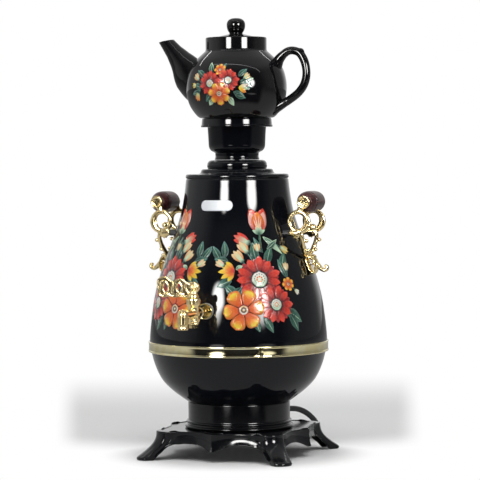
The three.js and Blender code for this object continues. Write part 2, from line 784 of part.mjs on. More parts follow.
function standCup() {
  const outer = cupOutlineShares.map(([out, up]) => [
    between(cupNeckRadius, cupMouthRadius, out),
    cupBottom + up * cupHeight,
  ]);
  const inner = outer.filter(([, height]) => height > cupBottom + cupFloor).map(([radius, height]) => [radius - cupWall, height]);
  return turned(
    [
      [standBoltRadius + touchGap, cupBottom],
      [cupFootRadius, cupBottom],
      [cupFootRadius, cupBottom + cupFloor / 2],
      ...outer,
      ...inner.reverse(),
      [cupNeckRadius - cupWall, cupBottom + cupFloor],
      [standBoltRadius + touchGap, cupBottom + cupFloor],
      [standBoltRadius + touchGap, cupBottom],
    ],
    cupSides,
  );
}

function crownRing() {
  const spigotOuter = cupMouthRadius - cupWall - 4 * touchGap;
  const recessFloor = crownTop - crownRecessDepth;
  return turned([
    [crownHoleRadius, crownBottom - crownSpigot],
    [spigotOuter, crownBottom - crownSpigot],
    [spigotOuter, crownBottom],
    [crownRadius, crownBottom],
    [crownRadius, crownTop - 2 * crownGroove],
    [crownRadius - crownGroove, crownTop - crownGroove],
    [crownRadius - crownGroove, crownTop],
    [crownRecessRadius, crownTop],
    [crownRecessRadius, recessFloor],
    [crownHoleRadius, recessFloor],
    [crownHoleRadius, crownBottom - crownSpigot],
  ]);
}

const standNutTop = lidTop - lidPlateThickness - touchGap;

function standBolt() {
  const bottom = standNutTop - standNutHeight - standBoltTail;
  const seat = cupBottom + cupFloor + touchGap;
  return joined(
    disc(standBoltRadius, bottom, seat + standBoltHeadHeight / 2),
    disc(standBoltHeadRadius, seat, seat + standBoltHeadHeight, 6),
  );
}

const potOutline = potOutlineShares.map(([out, up]) => [out * potRadius, potBottom + up * potHeight]);
const potPoint = (reach, [out, up]) => v3(reach * out, 0, potBottom + up * potHeight);

function spoutSolid(wall) {
  const radii = (shares) => shares.map((share) => share * spoutRootRadius - wall);
  return tapered(
    spoutPlaceShares.map((place) => potPoint(-spoutReach, place)),
    radii(spoutRadiusShares),
    radii(spoutWidthShares),
    8,
    10,
  );
}

function teapot() {
  const foot = potFootRadius - potFootHeight / 2;
  const outside = turned([
    [0, potBottom],
    [foot, potBottom],
    ...potOutline,
    [potNeckRadius, neckBottom + potNeckHeight * 0.08],
    [potNeckRadius, neckTop],
    [0, neckTop],
  ]);
  const inward = besideOutline(potOutline, potWall).filter((_, i) => i % 2 === 0).slice(1, -1);
  const potFloorRadius = potOutlineShares[0][0] * potRadius - potWall / 2;
  const neckInner = potNeckRadius - potWall;
  const ledgeInner = neckInner - potLedgeWidth;
  const ledgeHeight = neckTop - potLedge;
  const inside = turned([
    [0, potBottom + potFloor],
    [potFloorRadius, potBottom + potFloor],
    ...inward,
    [ledgeInner, neckBottom],
    [ledgeInner, ledgeHeight],
    [neckInner, ledgeHeight],
    [neckInner, neckTop + overrun],
    [0, neckTop + overrun],
  ]);
  const handlePoints = potHandleShares.map((place) => potPoint(potHandleReach, place));
  const handle = tapered(
    handlePoints,
    [1.25, 1, 1, 1, 1, 1, 1.25].map((share) => share * potHandleRadius),
    [1.5, 1.15, 1.1, 1.1, 1.1, 1.15, 1.5].map((share) => share * potHandleRadius),
    14,
    8,
  );
  const along = new THREE.CatmullRomCurve3(handlePoints, false, "centripetal").getPoint(thumbRestShare);
  const thumbRest = ball(thumbRestRadius, along.add(v3(0, 0, potHandleRadius * 0.6)));
  const mouthCut = block(
    spoutReach, spoutRootRadius * 2, spoutRootRadius * 2, -spoutReach, 0, potBottom + spoutMouthHeight);
  return cut(
    joined(outside, spoutSolid(0), handle, thumbRest),
    mouthCut,
    inside,
    spoutSolid(spoutWall),
  );
}

function teapotLid() {
  const rimTopHeight = potLidSeat + potLidRimHeight;
  const domeTop = rimTopHeight + potLidDomeHeight;
  const skirtBottom = potLidSeat - potLidSkirtDepth;
  const knobBase = domeTop - sunk;
  return turned(
    [
      [0, potLidSeat],
      [potLidSkirtRadius - potLidWall, potLidSeat],
      [potLidSkirtRadius - potLidWall, skirtBottom],
      [potLidSkirtRadius, skirtBottom],
      [potLidSkirtRadius, potLidSeat],
      [potLidRadius, potLidSeat],
      [potLidRadius, rimTopHeight],
      [potLidRadius * 0.9, rimTopHeight],
      [potLidRadius * 0.5, between(rimTopHeight, domeTop, 0.8)],
      [potKnobNeckRadius, domeTop],
      ...potKnobShares.map(([out, up]) => [out * potKnobRadius, knobBase + up * potKnobHeight]),
      [0, knobBase + potKnobHeight],
    ],
    cupSides,
  );
}

const housingBottom = tapHeight - housingBottomHeight;
const housingTop = tapHeight + housingTopHeight;
const noseBottom = tapHeight - noseBottomHeight;
const noseTop = tapHeight + noseTopHeight;

// The tap's face on its gasket, and its inner seal's face, both square to -Y
const gasketFace = shellRadiusAt(tapHeight - tapFlangeRadius) + touchGap + gasketLeastThickness;
const sealFace = shellRadiusAt(tapHeight + tapFlangeRadius) - bodyWall - touchGap - gasketLeastThickness;
const tapTailEnd = sealFace - touchGap - tapNutThickness - tapTailLength / 4;

function tapGasket() {
  const washer = bar(tapFlangeRadius, tapPoint(gasketFace - overrun), tapPoint(gasketFace), 16);
  const hole = bar(tapTailRadius + touchGap, tapPoint(gasketFace - 2 * overrun), tapPoint(gasketFace + overrun));
  return cut(washer, hole, shellFill(touchGap));
}

function tapSeal() {
  const washer = bar(tapFlangeRadius, tapPoint(sealFace), tapPoint(sealFace + overrun), 16);
  const hole = bar(tapTailRadius + touchGap, tapPoint(sealFace - overrun), tapPoint(sealFace + 2 * overrun));
  return cut(common(washer, shellFill(-touchGap, shellInside)), hole);
}

function tapNut() {
  const near = sealFace - touchGap;
  const nut = bar(tapNutRadius, tapPoint(near - tapNutThickness), tapPoint(near), 6);
  return cut(nut, bar(tapTailRadius + touchGap, tapPoint(near - tapNutThickness - overrun), tapPoint(near + overrun)));
}

function tapBody() {
  const face = gasketFace + touchGap;
  const flangeEnd = face + tapFlangeThickness;
  const waist = flangeEnd + tapFlangeThickness;
  const plugPlace = (geometry) => geometry.translate(0, -plugReach, 0);
  const cupBottomHeight = between(housingBottom, housingTop, 0.68);
  const housing = plugPlace(
    turned(
      [
        [0, housingBottom],
        [housingRadius, housingBottom],
        [housingRadius * 1.1, between(housingBottom, housingTop, 0.06)],
        [housingRadius, between(housingBottom, housingTop, 0.12)],
        [housingRadius, cupBottomHeight],
        [housingCupRadius, between(cupBottomHeight, housingTop, 0.7)],
        [housingCupRadius, housingTop],
        [0, housingTop],
      ],
      12,
    ),
  );
  const nose = turned(
    [
      [0, noseBottom],
      [noseRadius, noseBottom],
      [noseRadius, between(noseBottom, noseTop, 0.15)],
      [noseRadius * 0.92, between(noseBottom, noseTop, 0.2)],
      [noseRadius * 0.92, between(noseBottom, noseTop, 0.75)],
      [noseRadius * 0.66, between(noseBottom, noseTop, 0.93)],
      [0, noseTop],
    ],
    12,
  ).translate(0, -noseReach, 0);
  const outside = joined(
    bar(tapTailRadius, tapPoint(tapTailEnd), tapPoint(waist)),
    bar(tapFlangeRadius, tapPoint(face), tapPoint(flangeEnd), 16, tapFlangeRadius * 0.92),
    bar(tapPipeRadius * 1.45, tapPoint(flangeEnd - sunk), tapPoint(waist + tapPipeRadius), 12, tapPipeRadius),
    bar(tapPipeRadius, tapPoint(waist), tapPoint(noseReach)),
    housing,
    nose,
  );
  return cut(
    outside,
    bar(tapBoreRadius, tapPoint(tapTailEnd - overrun), tapPoint(noseReach)),
    plugPlace(disc(plugRadius + runGap, housingBottom - overrun, housingTop + overrun)),
    disc(noseBoreRadius, noseBottom - overrun, tapHeight + tapBoreRadius).translate(0, -noseReach, 0),
  );
}

const keyNutTop = housingBottom - runGap;

function tapKey() {
  const bellBottom = housingTop + runGap;
  const bellTop = bellBottom + bellHeight;
  const bottom = keyNutTop - keyNutThickness - keyTail;
  const plug = turned(
    [
      [0, bottom],
      [plugRadius * 0.7, bottom],
      [plugRadius * 0.7, keyNutTop + runGap],
      [plugRadius, keyNutTop + runGap],
      [plugRadius, bellBottom],
      [bellRadius, bellBottom],
      [bellRadius * 0.86, between(bellBottom, bellTop, 0.25)],
      [bellRadius * 0.45, between(bellBottom, bellTop, 0.7)],
      [bellRadius * 0.5, bellTop],
      [0, bellTop],
    ],
    12,
  );
  const bore = bar(tapBoreRadius, v3(-bellRadius, 0, tapHeight), v3(bellRadius, 0, tapHeight), 10);
  const place = ([out, up]) => v2(-out * leverReach, up * leverRise);
  const lever = new THREE.Shape(leverOutlineShares.map(place));
  for (const { middleShare, halfShares } of leverHoles) {
    const middle = place(middleShare);
    const hole = new THREE.Path();
    hole.absellipse(middle.x, middle.y, halfShares[0] * leverReach, halfShares[1] * leverRise, 0, 2 * halfTurn);
    lever.holes.push(hole);
  }
  const plate = new THREE.ExtrudeGeometry(lever, { depth: leverThickness, bevelEnabled: false, curveSegments: 4 });
  plate.rotateX(quarterTurn).translate(0, leverThickness / 2, bellBottom);
  const curlMiddle = place(leverCurlShares);
  const curl = ball(leverCurlRadius, v3(curlMiddle.x, 0, bellBottom + curlMiddle.y));
  return joined(cut(plug, bore), plate, curl).translate(0, -plugReach, 0);
}

function keyNut() {
  const bottom = keyNutTop - keyNutThickness;
  return hexNut(plugRadius * 0.7, keyNutRadius, bottom, keyNutThickness).translate(0, -plugReach, 0);
}

// Handle pieces are made for the +X side and turned half round for the other
const handlePoint = ([out, up], lateral) =>
  v3(footReach + out * handleRise, lateral, handleFootHeight + up * handleRise);

function handleCasting() {
  const pieces = [];
  for (const side of [-1, 1]) {
    const y = side * armOffset;
    const across = (shares, from, to) => [handlePoint(shares, y + from), handlePoint(shares, y + to)];
    const half = armThickness / 2;
    pieces.push(bar(bossRadius, ...across(bossShares, -half, half), 10));
    const annulus = new THREE.Shape().absarc(0, 0, handleRingRadius, 0, 2 * halfTurn);
    annulus.holes.push(new THREE.Path().absarc(0, 0, handleRingHoleRadius, 0, 2 * halfTurn));
    const hoop = new THREE.ExtrudeGeometry(annulus, { depth: armThickness, bevelEnabled: false, curveSegments: 5 });
    hoop.rotateX(quarterTurn).translate(0, half, 0);
    pieces.push(hoop.translate(...handlePoint(ringShares, y)));
    const ringTop = [ringShares[0], ringShares[1] + (handleRingRadius - sunk) / handleRise];
    pieces.push(strut(bossRadius, armThickness, handlePoint(ringTop, y), handlePoint(bossShares, y)));
    pieces.push(ball(handleKnobRadius, handlePoint(handleKnobShares, y), v3(1, 1, 1), 7));
    pieces.push(bar(lugRadius, handlePoint(lugShares, y).setX(lugReach), handlePoint([ringShares[0], lugShares[1]], y), 6));
    pieces.push(ball(handleKnobRadius, handlePoint(leafShares, y * 0.85), v3(1.25, 0.8, 0.8), 6));
    const stem = stemShares.map(([out, up, lateral]) => handlePoint([out, up], y * lateral));
    pieces.push(tapered(stem, [stemRadius * 1.3, stemRadius, stemRadius, stemRadius * 1.2], [stemRadius, stemRadius], 4, 6));
  }
  const foot = ball(1, handlePoint(footShares, 0), v3(footHalfDepth, footHalfWidth, footHalfHeight), 10);
  const tail = tapered(
    tailShares.map((place) => handlePoint(place, 0)),
    [tailRadius * 1.4, tailRadius, tailRadius * 0.8],
    [tailRadius * 1.6, tailRadius, tailRadius * 0.8],
    6,
    6,
  );
  const tip = ball(tailBallRadius, handlePoint(tailShares[tailShares.length - 1], 0), v3(1, 1, 1), 6);
  const rodWay = [handlePoint(bossShares, -armOffset * 2), handlePoint(bossShares, armOffset * 2)];
  return cut(
    joined(...pieces, foot, tail, tip),
    shellFill(touchGap),
    bar(gripRodRadius + touchGap, ...rodWay, 8),
    bar(footScrewRadius + touchGap, alongFoot(-overrun), alongFoot(footScrewReach + touchGap)),
    ...[-1, 1].map((side) => bushBar(side, touchGap)),
  );
}

function handleGrip() {
  const half = armOffset - armThickness / 2 - touchGap;
  const side = (mirror) =>
    gripOutlineShares.map(([out, along]) => [between(gripEndRadius, gripRadius, out), mirror * along * half]);
  const groove = (mirror) => [
    [gripRadius * 0.985, mirror * (gripGrooveShare + gripGrooveHalfShare) * half],
    [gripRadius - gripGroove, mirror * gripGrooveShare * half],
    [gripRadius, mirror * (gripGrooveShare - gripGrooveHalfShare) * half],
  ];
  const profile = [
    [gripBoreRadius, -half],
    ...side(-1),
    ...groove(-1),
    ...groove(1).reverse(),
    ...side(1).reverse(),
    [gripBoreRadius, half],
    [gripBoreRadius, -half],
  ];
  return turned(profile, 14).rotateX(quarterTurn).translate(...handlePoint(bossShares, 0));
}

function gripRod() {
  const half = armOffset + armThickness / 2 - rodRecess;
  return bar(gripRodRadius, handlePoint(bossShares, -half), handlePoint(bossShares, half));
}

// Where a bush ends and the casting's lug begins
const bushPlace = (side) => handlePoint(lugShares, side * armOffset);
const shellAtBush = Math.sqrt(shellRadiusAt(bushPlace(1).z) ** 2 - armOffset ** 2);
const bushEnd = shellAtBush + bushLength;
const lugReach = bushEnd + touchGap;

// A bush that runs on into the body, or the room that it needs
function bushBar(side, clearance = 0) {
  const place = bushPlace(side);
  return bar(bushRadius + clearance, place.clone().setX(shellAtBush - overrun), place.clone().setX(bushEnd + clearance));
}

function spacerBush(side) {
  return cut(bushBar(side), shellFill(touchGap));
}

function footScrew() {
  const head = -bodyWall / footNormal.x - screwHeadGap;
  return joined(
    bar(footScrewRadius, alongFoot(head - footScrewHeadHeight / 2), alongFoot(footScrewReach)),
    bar(footScrewHeadRadius * 0.8, alongFoot(head - footScrewHeadHeight), alongFoot(head), 12, footScrewHeadRadius),
  );
}

const bowlFloor = bowlSeat + bodyWall;

function heatingElement() {
  const height = bowlSeat + heaterRingHeight;
  const legFoot = bowlSeat - heaterLegTail;
  const leg = (side) => [
    v3(side * heaterLegSpread, -heaterLegSetback, legFoot),
    v3(side * heaterLegSpread, -heaterLegSetback, between(legFoot, height, 0.4)),
    v3(side * heaterLegSpread, -heaterLegSetback, between(legFoot, height, 0.72)),
    v3(side * heaterLegSpread * 1.3, -heaterLegSetback * 1.17, between(legFoot, height, 0.94)),
  ];
  const loop = [];
  for (let degrees = -42; degrees <= 222; degrees += 22) {
    const turn = radians(degrees);
    loop.push(v3(heaterRingRadius * Math.cos(turn), heaterRingRadius * Math.sin(turn), height));
  }
  const way = new THREE.CatmullRomCurve3([...leg(1), ...loop, ...leg(-1).reverse()], false, "centripetal");
  return tube(way, heaterTubeRadius, 36, 3);
}

function heaterSeal(side) {
  const seal = ring(heaterTubeRadius + touchGap, heaterNutRadius, 0, heaterSealThickness, smallSides);
  return seal.translate(side * heaterLegSpread, -heaterLegSetback, bowlFloor + touchGap);
}

function heaterNut(side) {
  const nut = hexNut(heaterTubeRadius, heaterNutRadius, bowlSeat - touchGap - heaterNutHeight, heaterNutHeight);
  return nut.translate(side * heaterLegSpread, -heaterLegSetback, 0);
}

function thermalCutout() {
  const top = bowlSeat - touchGap;
  const body = disc(cutoutRadius, top - cutoutHeight, top, 16);
  return body.translate(cutoutX, cutoutY, 0);
}

function earthScrew() {
  const top = bowlSeat - touchGap;
  return disc(earthScrewRadius, top - earthScrewHeight, top, 8).translate(earthScrewX, earthScrewY, 0);
}

const blockBottom = coverTop + touchGap;
const blockTop = blockBottom + blockHeight;

function terminalBlock() {
  const body = block(blockLength, blockDepth, blockHeight, 0, blockY, blockBottom);
  const slots = [-1, 0, 1].map((place) =>
    block(blockPitch / 2, blockDepth * 0.4, blockHeight / 2, place * blockPitch, blockY + blockDepth * 0.3, blockTop - blockHeight * 0.3),
  );
  return cut(body, ...slots);
}

// A lead that leaves the block's top and ends under a terminal
function lead(blockPlace, end) {
  const start = v3(blockPlace * blockPitch, blockY - blockDepth * 0.25, blockTop + touchGap);
  const rise = bowlSeat - blockTop;
  const middle = start.clone().lerp(end, 0.5).setZ(blockTop + rise * 0.36);
  const way = new THREE.CatmullRomCurve3([
    start,
    start.clone().add(v3(0, 0, rise * 0.25)),
    middle,
    end.clone().add(v3(0, 0, -rise * 0.12)),
    end,
  ]);
  return tube(way, leadRadius, 8, 3);
}

const underBowl = (x, y, depth) => v3(x, y, bowlSeat - depth - 2 * touchGap);
const liveLead = () => lead(-1, underBowl(cutoutX, cutoutY + cutoutRadius / 2, cutoutHeight));
const neutralLead = () => lead(0, underBowl(heaterLegSpread, -heaterLegSetback, heaterLegTail));
const earthLead = () => lead(1, underBowl(earthScrewX, earthScrewY, earthScrewHeight));

function linkLead() {
  const start = underBowl(cutoutX, cutoutY - cutoutRadius / 2, cutoutHeight);
  const end = underBowl(-heaterLegSpread, -heaterLegSetback, heaterLegTail);
  const sag = v3(0, 0, -cutoutHeight);
  const way = new THREE.CatmullRomCurve3([
    start,
    start.clone().addScaledVector(sag, 0.5),
    start.clone().lerp(end, 0.55).add(sag),
    end.clone().addScaledVector(sag, 0.5),
    end,
  ]);
  return tube(way, leadRadius, 8, 3);
}

function strainRelief() {
  const outer = collarRadius + reliefFlangeThickness;
  const inner = collarRadius - collarWall - reliefFlangeThickness;
  const flanges = cut(
    joined(
      bar(reliefFlangeRadius, alongRelief(inner), alongRelief(outer)),
      bar(reliefRadius, alongRelief(outer - sunk), alongRelief(collarRadius + reliefLength), smallSides, reliefTipRadius),
    ),
    ring(collarRadius - collarWall - touchGap, collarRadius + touchGap, 0, 2 * cordExitHeight),
  );
  return joined(flanges, bar(reliefNeckRadius, alongRelief(inner + sunk), alongRelief(outer - sunk)));
}

// The cord inside the collar, from the strain relief to the block's back
function innerLead() {
  const start = alongRelief(collarRadius - collarWall - reliefFlangeThickness - touchGap);
  const end = v3(0, blockY + blockDepth / 2 + touchGap, blockBottom + blockHeight / 2);
  const way = new THREE.CatmullRomCurve3([
    start,
    start.clone().addScaledVector(reliefWay, -cordRadius),
    end.clone().add(v3(0, cordRadius, 0)),
    end,
  ]);
  return tube(way, cordRadius, 6, 4);
}

// The coil's middle line, wound in two layers, inwards below and outwards above
const coilMiddle = v3(
  -coilDistance * Math.sin(radians(coilTurnFromBack)),
  coilDistance * Math.cos(radians(coilTurnFromBack)),
  0,
);


const coilStart = radians(coilStartTurn);

function coilPoint(turns) {
  const half = coilTurns / 2;
  const radius = coilOuterRadius - coilPitch * (turns < half ? turns : coilTurns - turns);
  const climb = THREE.MathUtils.smoothstep(turns, half - 0.25, half + 0.25);
  const turn = coilStart + turns * 2 * halfTurn;
  return coilMiddle
    .clone()
    .add(v3(radius * Math.cos(turn), radius * Math.sin(turn), tieWall + touchGap + cordRadius + coilPitch * climb));
}

const coilPoints = [];
for (let step = 0; step <= coilTurns * coilSteps; step++) coilPoints.push(coilPoint(step / coilSteps));

// The coil's straight ends, one cord across
function coilEnd(from, towards) {
  return from.clone().add(from.clone().sub(towards).setLength(2 * cordRadius));
}
const coilEntry = coilEnd(coilPoints[0], coilPoints[1]);
const coilExit = coilEnd(coilPoints[coilPoints.length - 1], coilPoints[coilPoints.length - 2]);

function cordCoil() {
  const stops = [coilEntry, ...coilPoints, coilExit];
  const curve = new THREE.CatmullRomCurve3(stops, false, "centripetal");
  curve.getPointAt = (share) => {
    const place = share * (stops.length - 1);
    const low = Math.min(Math.floor(place), stops.length - 2);
    return stops[low].clone().lerp(stops[low + 1], place - low);
  };
  return tube(curve, cordRadius, stops.length - 1, coilTubeSides / 2);
}

// Least gap between turns of the coil, measured between points of its middle line half a turn or more apart
function coilLeastGap() {
  let least = Infinity;
  coilPoints.forEach((a, i) => {
    for (let k = i + coilSteps / 2; k < coilPoints.length; k++) least = Math.min(least, a.distanceTo(coilPoints[k]));
  });
  return least - 2 * cordRadius;
}

function powerCord() {
  const start = alongRelief(collarRadius + reliefLength + touchGap);
  const straight = alongRelief(collarRadius + reliefLength + cordRadius);
  const back = coilEntry.clone().sub(coilPoints[0]).normalize();
  const meet = coilEntry.clone().addScaledVector(back, touchGap);
  const before = coilEntry.clone().addScaledVector(back, 2 * cordRadius);
  const stops = [start, straight, ...cordRoute.map((p) => v3(...p)), before, meet];
  return tube(new THREE.CatmullRomCurve3(stops, false, "centripetal"), cordRadius, 36, 4);
}

function cordTie() {
  const middle = coilOuterRadius - (coilPitch * coilTurns) / 4;
  const halfWidth = (coilPitch * coilTurns) / 4 + cordRadius + 2 * touchGap;
  const height = coilPitch + 2 * cordRadius + 3 * touchGap;
  const outer = block(2 * (halfWidth + tieWall), tieWidth, height + 2 * tieWall, middle, 0, 0);
  const inner = block(2 * halfWidth, 2 * tieWidth, height, middle, 0, tieWall);
  return cut(outer, inner).rotateZ(coilStart + quarterTurn).translate(coilMiddle.x, coilMiddle.y, 0);
}

const plugWay = coilExit.clone().sub(coilPoints[coilPoints.length - 1]).setZ(0).normalize();
const plugNeckHeight = coilExit.z;
const plugStart = coilExit.clone().addScaledVector(plugWay, touchGap);
const plugMiddle = plugStart.clone().addScaledVector(plugWay, plugNeckLength + plugDiscRadius).setZ(0);

function plugBody() {
  const neckEnd = plugMiddle.clone().setZ(plugNeckHeight);
  const recess = disc(plugDiscRadius - plugRimHeight, plugDiscHeight - plugRimHeight, plugDiscHeight + overrun, 24);
  const shell = turned(
    [
      [0, 0],
      [plugDiscRadius * 0.8, 0],
      [plugDiscRadius, plugDiscHeight * 0.25],
      [plugDiscRadius, plugDiscHeight],
      [0, plugDiscHeight],
    ],
    24,
  );
  const body = cut(shell, recess).translate(plugMiddle.x, plugMiddle.y, 0);
  return joined(body, bar(cordRadius * 1.2, plugStart, neckEnd.addScaledVector(plugWay, -plugDiscRadius / 2), 12, plugNeckRadius));
}

function plugPin(side) {
  const across = v3(plugWay.y, -plugWay.x, 0).multiplyScalar((side * plugPinSpacing) / 2);
  const foot = plugMiddle.clone().add(across).setZ(plugDiscHeight - plugRimHeight + touchGap);
  return bar(plugPinRadius, foot, foot.clone().add(v3(0, 0, plugPinLength)), 10);
}

// The whole samovar, its axis set back so that the origin is in the middle of its box
const tapReach = noseReach + noseRadius;
const bandReach = seamRadius + bandGap + bandThickness;
const samovar = new THREE.Group();
samovar.name = "samovar";
samovar.position.y = (tapReach - bandReach) / 2;

function add(name, finish, geometry, turn = 0) {
  const piece = new THREE.Mesh(geometry, new THREE.MeshStandardMaterial(finishes[finish]));
  piece.name = name;
  piece.rotation.z = turn;
  samovar.add(piece);
}

add("base_stand", "casting", baseStand());
add("bottom_cover", "steel", bottomCover());
add("tie_bolt", "steel", tieBolt());
add("tie_nut", "steel", hexNut(tieBoltRadius, tieNutRadius, coverBottom - touchGap - tieNutThickness, tieNutThickness));
add("pedestal_collar", "casting", pedestalCollar());
add("lower_bowl", "enamel", lowerBowl());
add("seam_gasket", "silicone", seamGasket());
add("seam_band", "gold", seamBand());
add("upper_shell", "enamel", upperShell());
add("blank_label", "paper", blankLabel());

add("heating_element", "steel", heatingElement());
for (const side of [-1, 1]) {
  const hand = side < 0 ? "left" : "right";
  add(`heater_seal_${hand}`, "silicone", heaterSeal(side));
  add(`heater_nut_${hand}`, "steel", heaterNut(side));
}
add("thermal_cutout", "plastic", thermalCutout());
add("earth_screw", "steel", earthScrew());
add("terminal_block", "plastic", terminalBlock());
add("live_lead", "liveLead", liveLead());
add("link_lead", "liveLead", linkLead());
add("neutral_lead", "neutralLead", neutralLead());
add("earth_lead", "earthLead", earthLead());
add("inner_cord_lead", "rubber", innerLead());

for (const side of [-1, 1]) {
  const hand = side < 0 ? "left" : "right";
  const turn = side < 0 ? halfTurn : 0;
  add(`${hand}_handle_casting`, "gold", handleCasting(), turn);
  add(`${hand}_grip`, "wood", handleGrip(), turn);
  add(`${hand}_grip_rod`, "steel", gripRod(), turn);
  add(`${hand}_foot_screw`, "steel", footScrew(), turn);
  add(`${hand}_spacer_front`, "plastic", spacerBush(-side), turn);
  add(`${hand}_spacer_back`, "plastic", spacerBush(side), turn);
}

add("tap_gasket", "rubber", tapGasket());
add("tap_inner_seal", "rubber", tapSeal());
add("tap_back_nut", "steel", tapNut());
add("tap_body", "gold", tapBody());
add("tap_key", "gold", tapKey());
add("tap_key_nut", "gold", keyNut());

add("tank_lid", "enamel", tankLid());
add("stand_cup", "enamel", standCup());
add("crown_ring", "enamel", crownRing());
add("stand_bolt", "steel", standBolt());
add("stand_nut", "steel", hexNut(standBoltRadius, standBoltHeadRadius, standNutTop - standNutHeight, standNutHeight));
add("teapot", "ceramic", teapot());
add("teapot_lid", "ceramic", teapotLid());

add("strain_relief", "rubber", strainRelief());
add("power_cord", "rubber", powerCord());
add("cord_coil", "rubber", cordCoil());
add("cord_tie", "plastic", cordTie());
add("plug_body", "plastic", plugBody());
add("plug_pin_left", "steel", plugPin(-1));
add("plug_pin_right", "steel", plugPin(1));

console.log(`least gap between the coil's turns ${coilLeastGap().toFixed(2)} mm`);

export default samovar;
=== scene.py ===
import math

import bmesh
import bpy
from mathutils import Matrix, Vector


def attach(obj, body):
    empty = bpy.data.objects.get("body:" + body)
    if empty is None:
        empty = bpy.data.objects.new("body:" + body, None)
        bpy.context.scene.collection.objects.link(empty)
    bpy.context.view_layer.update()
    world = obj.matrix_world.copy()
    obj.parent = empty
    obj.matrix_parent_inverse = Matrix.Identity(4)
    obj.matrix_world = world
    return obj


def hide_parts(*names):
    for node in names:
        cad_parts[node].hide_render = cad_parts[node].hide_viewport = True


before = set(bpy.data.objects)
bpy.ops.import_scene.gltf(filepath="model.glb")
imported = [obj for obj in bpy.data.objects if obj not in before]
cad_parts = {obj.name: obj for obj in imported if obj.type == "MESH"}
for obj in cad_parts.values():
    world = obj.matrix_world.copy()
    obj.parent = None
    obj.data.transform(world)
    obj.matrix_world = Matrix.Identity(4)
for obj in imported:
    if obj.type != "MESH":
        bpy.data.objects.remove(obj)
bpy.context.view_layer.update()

# Pieces are modelled in millimetres about the samovar's own axis, which stands behind the frame's origin.
AXIS_BEHIND = 35.1
AXIS = Vector((0, AXIS_BEHIND / 1000, 0))
TO_FRAME = Matrix.Diagonal((0.001, 0.001, 0.001, 1)) @ Matrix.Translation((0, AXIS_BEHIND, 0))
CAMERA_TURN = math.radians(21.5)
FULL_TURN = 2 * math.pi
BMVert, BMEdge, BMFace = bmesh.types.BMVert, bmesh.types.BMEdge, bmesh.types.BMFace


def in_frame(place):
    """A point in millimetres about the samovar's axis, in the frame's metres."""
    return TO_FRAME @ Vector(place)


def cosd(degrees):
    return math.cos(math.radians(degrees))


def sind(degrees):
    return math.sin(math.radians(degrees))


# ------------------------------------------------------------------ curves and outlines

def smooth_line(points, per_span=8, closed=False):
    """A smooth line through points, with per_span steps between each two."""
    line = [Vector(p) for p in points]
    count = len(line)
    spans = count if closed else count - 1
    result = []
    for i in range(spans):
        if closed:
            a, b, c, d = (line[(i + k - 1) % count] for k in range(4))
        else:
            b, c = line[i], line[i + 1]
            a = line[i - 1] if i else b * 2 - c
            d = line[i + 2] if i + 2 < count else c * 2 - b
        t1 = max((b - a).length, 1e-6) ** 0.5
        t2 = t1 + max((c - b).length, 1e-6) ** 0.5
        t3 = t2 + max((d - c).length, 1e-6) ** 0.5
        for step in range(per_span):
            t = t1 + (t2 - t1) * step / per_span
            ab = a.lerp(b, t / t1)
            bc = b.lerp(c, (t - t1) / (t2 - t1))
            cd = c.lerp(d, (t - t2) / (t3 - t2))
            abc = ab.lerp(bc, t / t2)
            bcd = bc.lerp(cd, (t - t1) / (t3 - t1))
            result.append(abc.lerp(bcd, (t - t1) / (t2 - t1)))
    if not closed:
        result.append(line[-1])
    return result


def profile(points, per_span=5):
    """Radius and height of a smooth outline through [radius, height] points."""
    return [(p.x, p.y) for p in smooth_line([(r, z, 0) for r, z in points], per_span)]


def eased(points, radius, steps=4):
    """An outline of corners with each inner corner rounded off."""
    corners = [Vector(p) for p in points]
    result = [corners[0]]
    for before, here, after in zip(corners, corners[1:], corners[2:]):
        room = min(radius, (before - here).length * 0.45, (after - here).length * 0.45)
        start = here + (before - here).normalized() * room
        end = here + (after - here).normalized() * room
        for k in range(steps + 1):
            share = k / steps
            result.append(start.lerp(here, share).lerp(here.lerp(end, share), share))
    result.append(corners[-1])
    return [tuple(p) for p in result]


def beside(points, distance):
    """An outline moved sideways, to the left of its direction for a positive distance."""
    result = []
    for i, (r, z) in enumerate(points):
        r0, z0 = points[max(i - 1, 0)]
        r1, z1 = points[min(i + 1, len(points) - 1)]
        way = Vector((r1 - r0, z1 - z0)).normalized()
        result.append((r - way.y * distance, z + way.x * distance))
    return result


def at_height(outline, height):
    """The radius of an upward outline at a height."""
    for (r0, z0), (r1, z1) in zip(outline, outline[1:]):
        if z0 <= height <= z1:
            return r0 + (r1 - r0) * (height - z0) / max(z1 - z0, 1e-9)
    return outline[0][0] if height < outline[0][1] else outline[-1][0]


# ------------------------------------------------------------------ mesh shapes, all in millimetres

def only(kind, made):
    """The verts, edges or faces among what a bmesh operator made."""
    return [g for g in made["geom"] if isinstance(g, kind)]


def whole(bm):
    return bm.verts[:] + bm.edges[:] + bm.faces[:]


def turned(outline, steps=128, closed=False, bm=None, axis=(0, 0, 1), centre=(0, 0, 0)):
    """A body turned once round an axis from [radius, distance along] points."""
    bm = bm or bmesh.new()
    along = Vector(axis).normalized()
    out = along.orthogonal().normalized() if abs(along.z) < 0.99 else Vector((1, 0, 0))
    centre = Vector(centre)
    verts = [bm.verts.new(centre + out * r + along * d) for r, d in outline]
    edges = [bm.edges.new(pair) for pair in zip(verts, verts[1:])]
    if closed:
        edges.append(bm.edges.new((verts[-1], verts[0])))
    bmesh.ops.spin(bm, geom=verts + edges, cent=centre, axis=along, angle=FULL_TURN, steps=steps, use_merge=True)
    bmesh.ops.remove_doubles(bm, verts=bm.verts, dist=1e-4)
    return bm


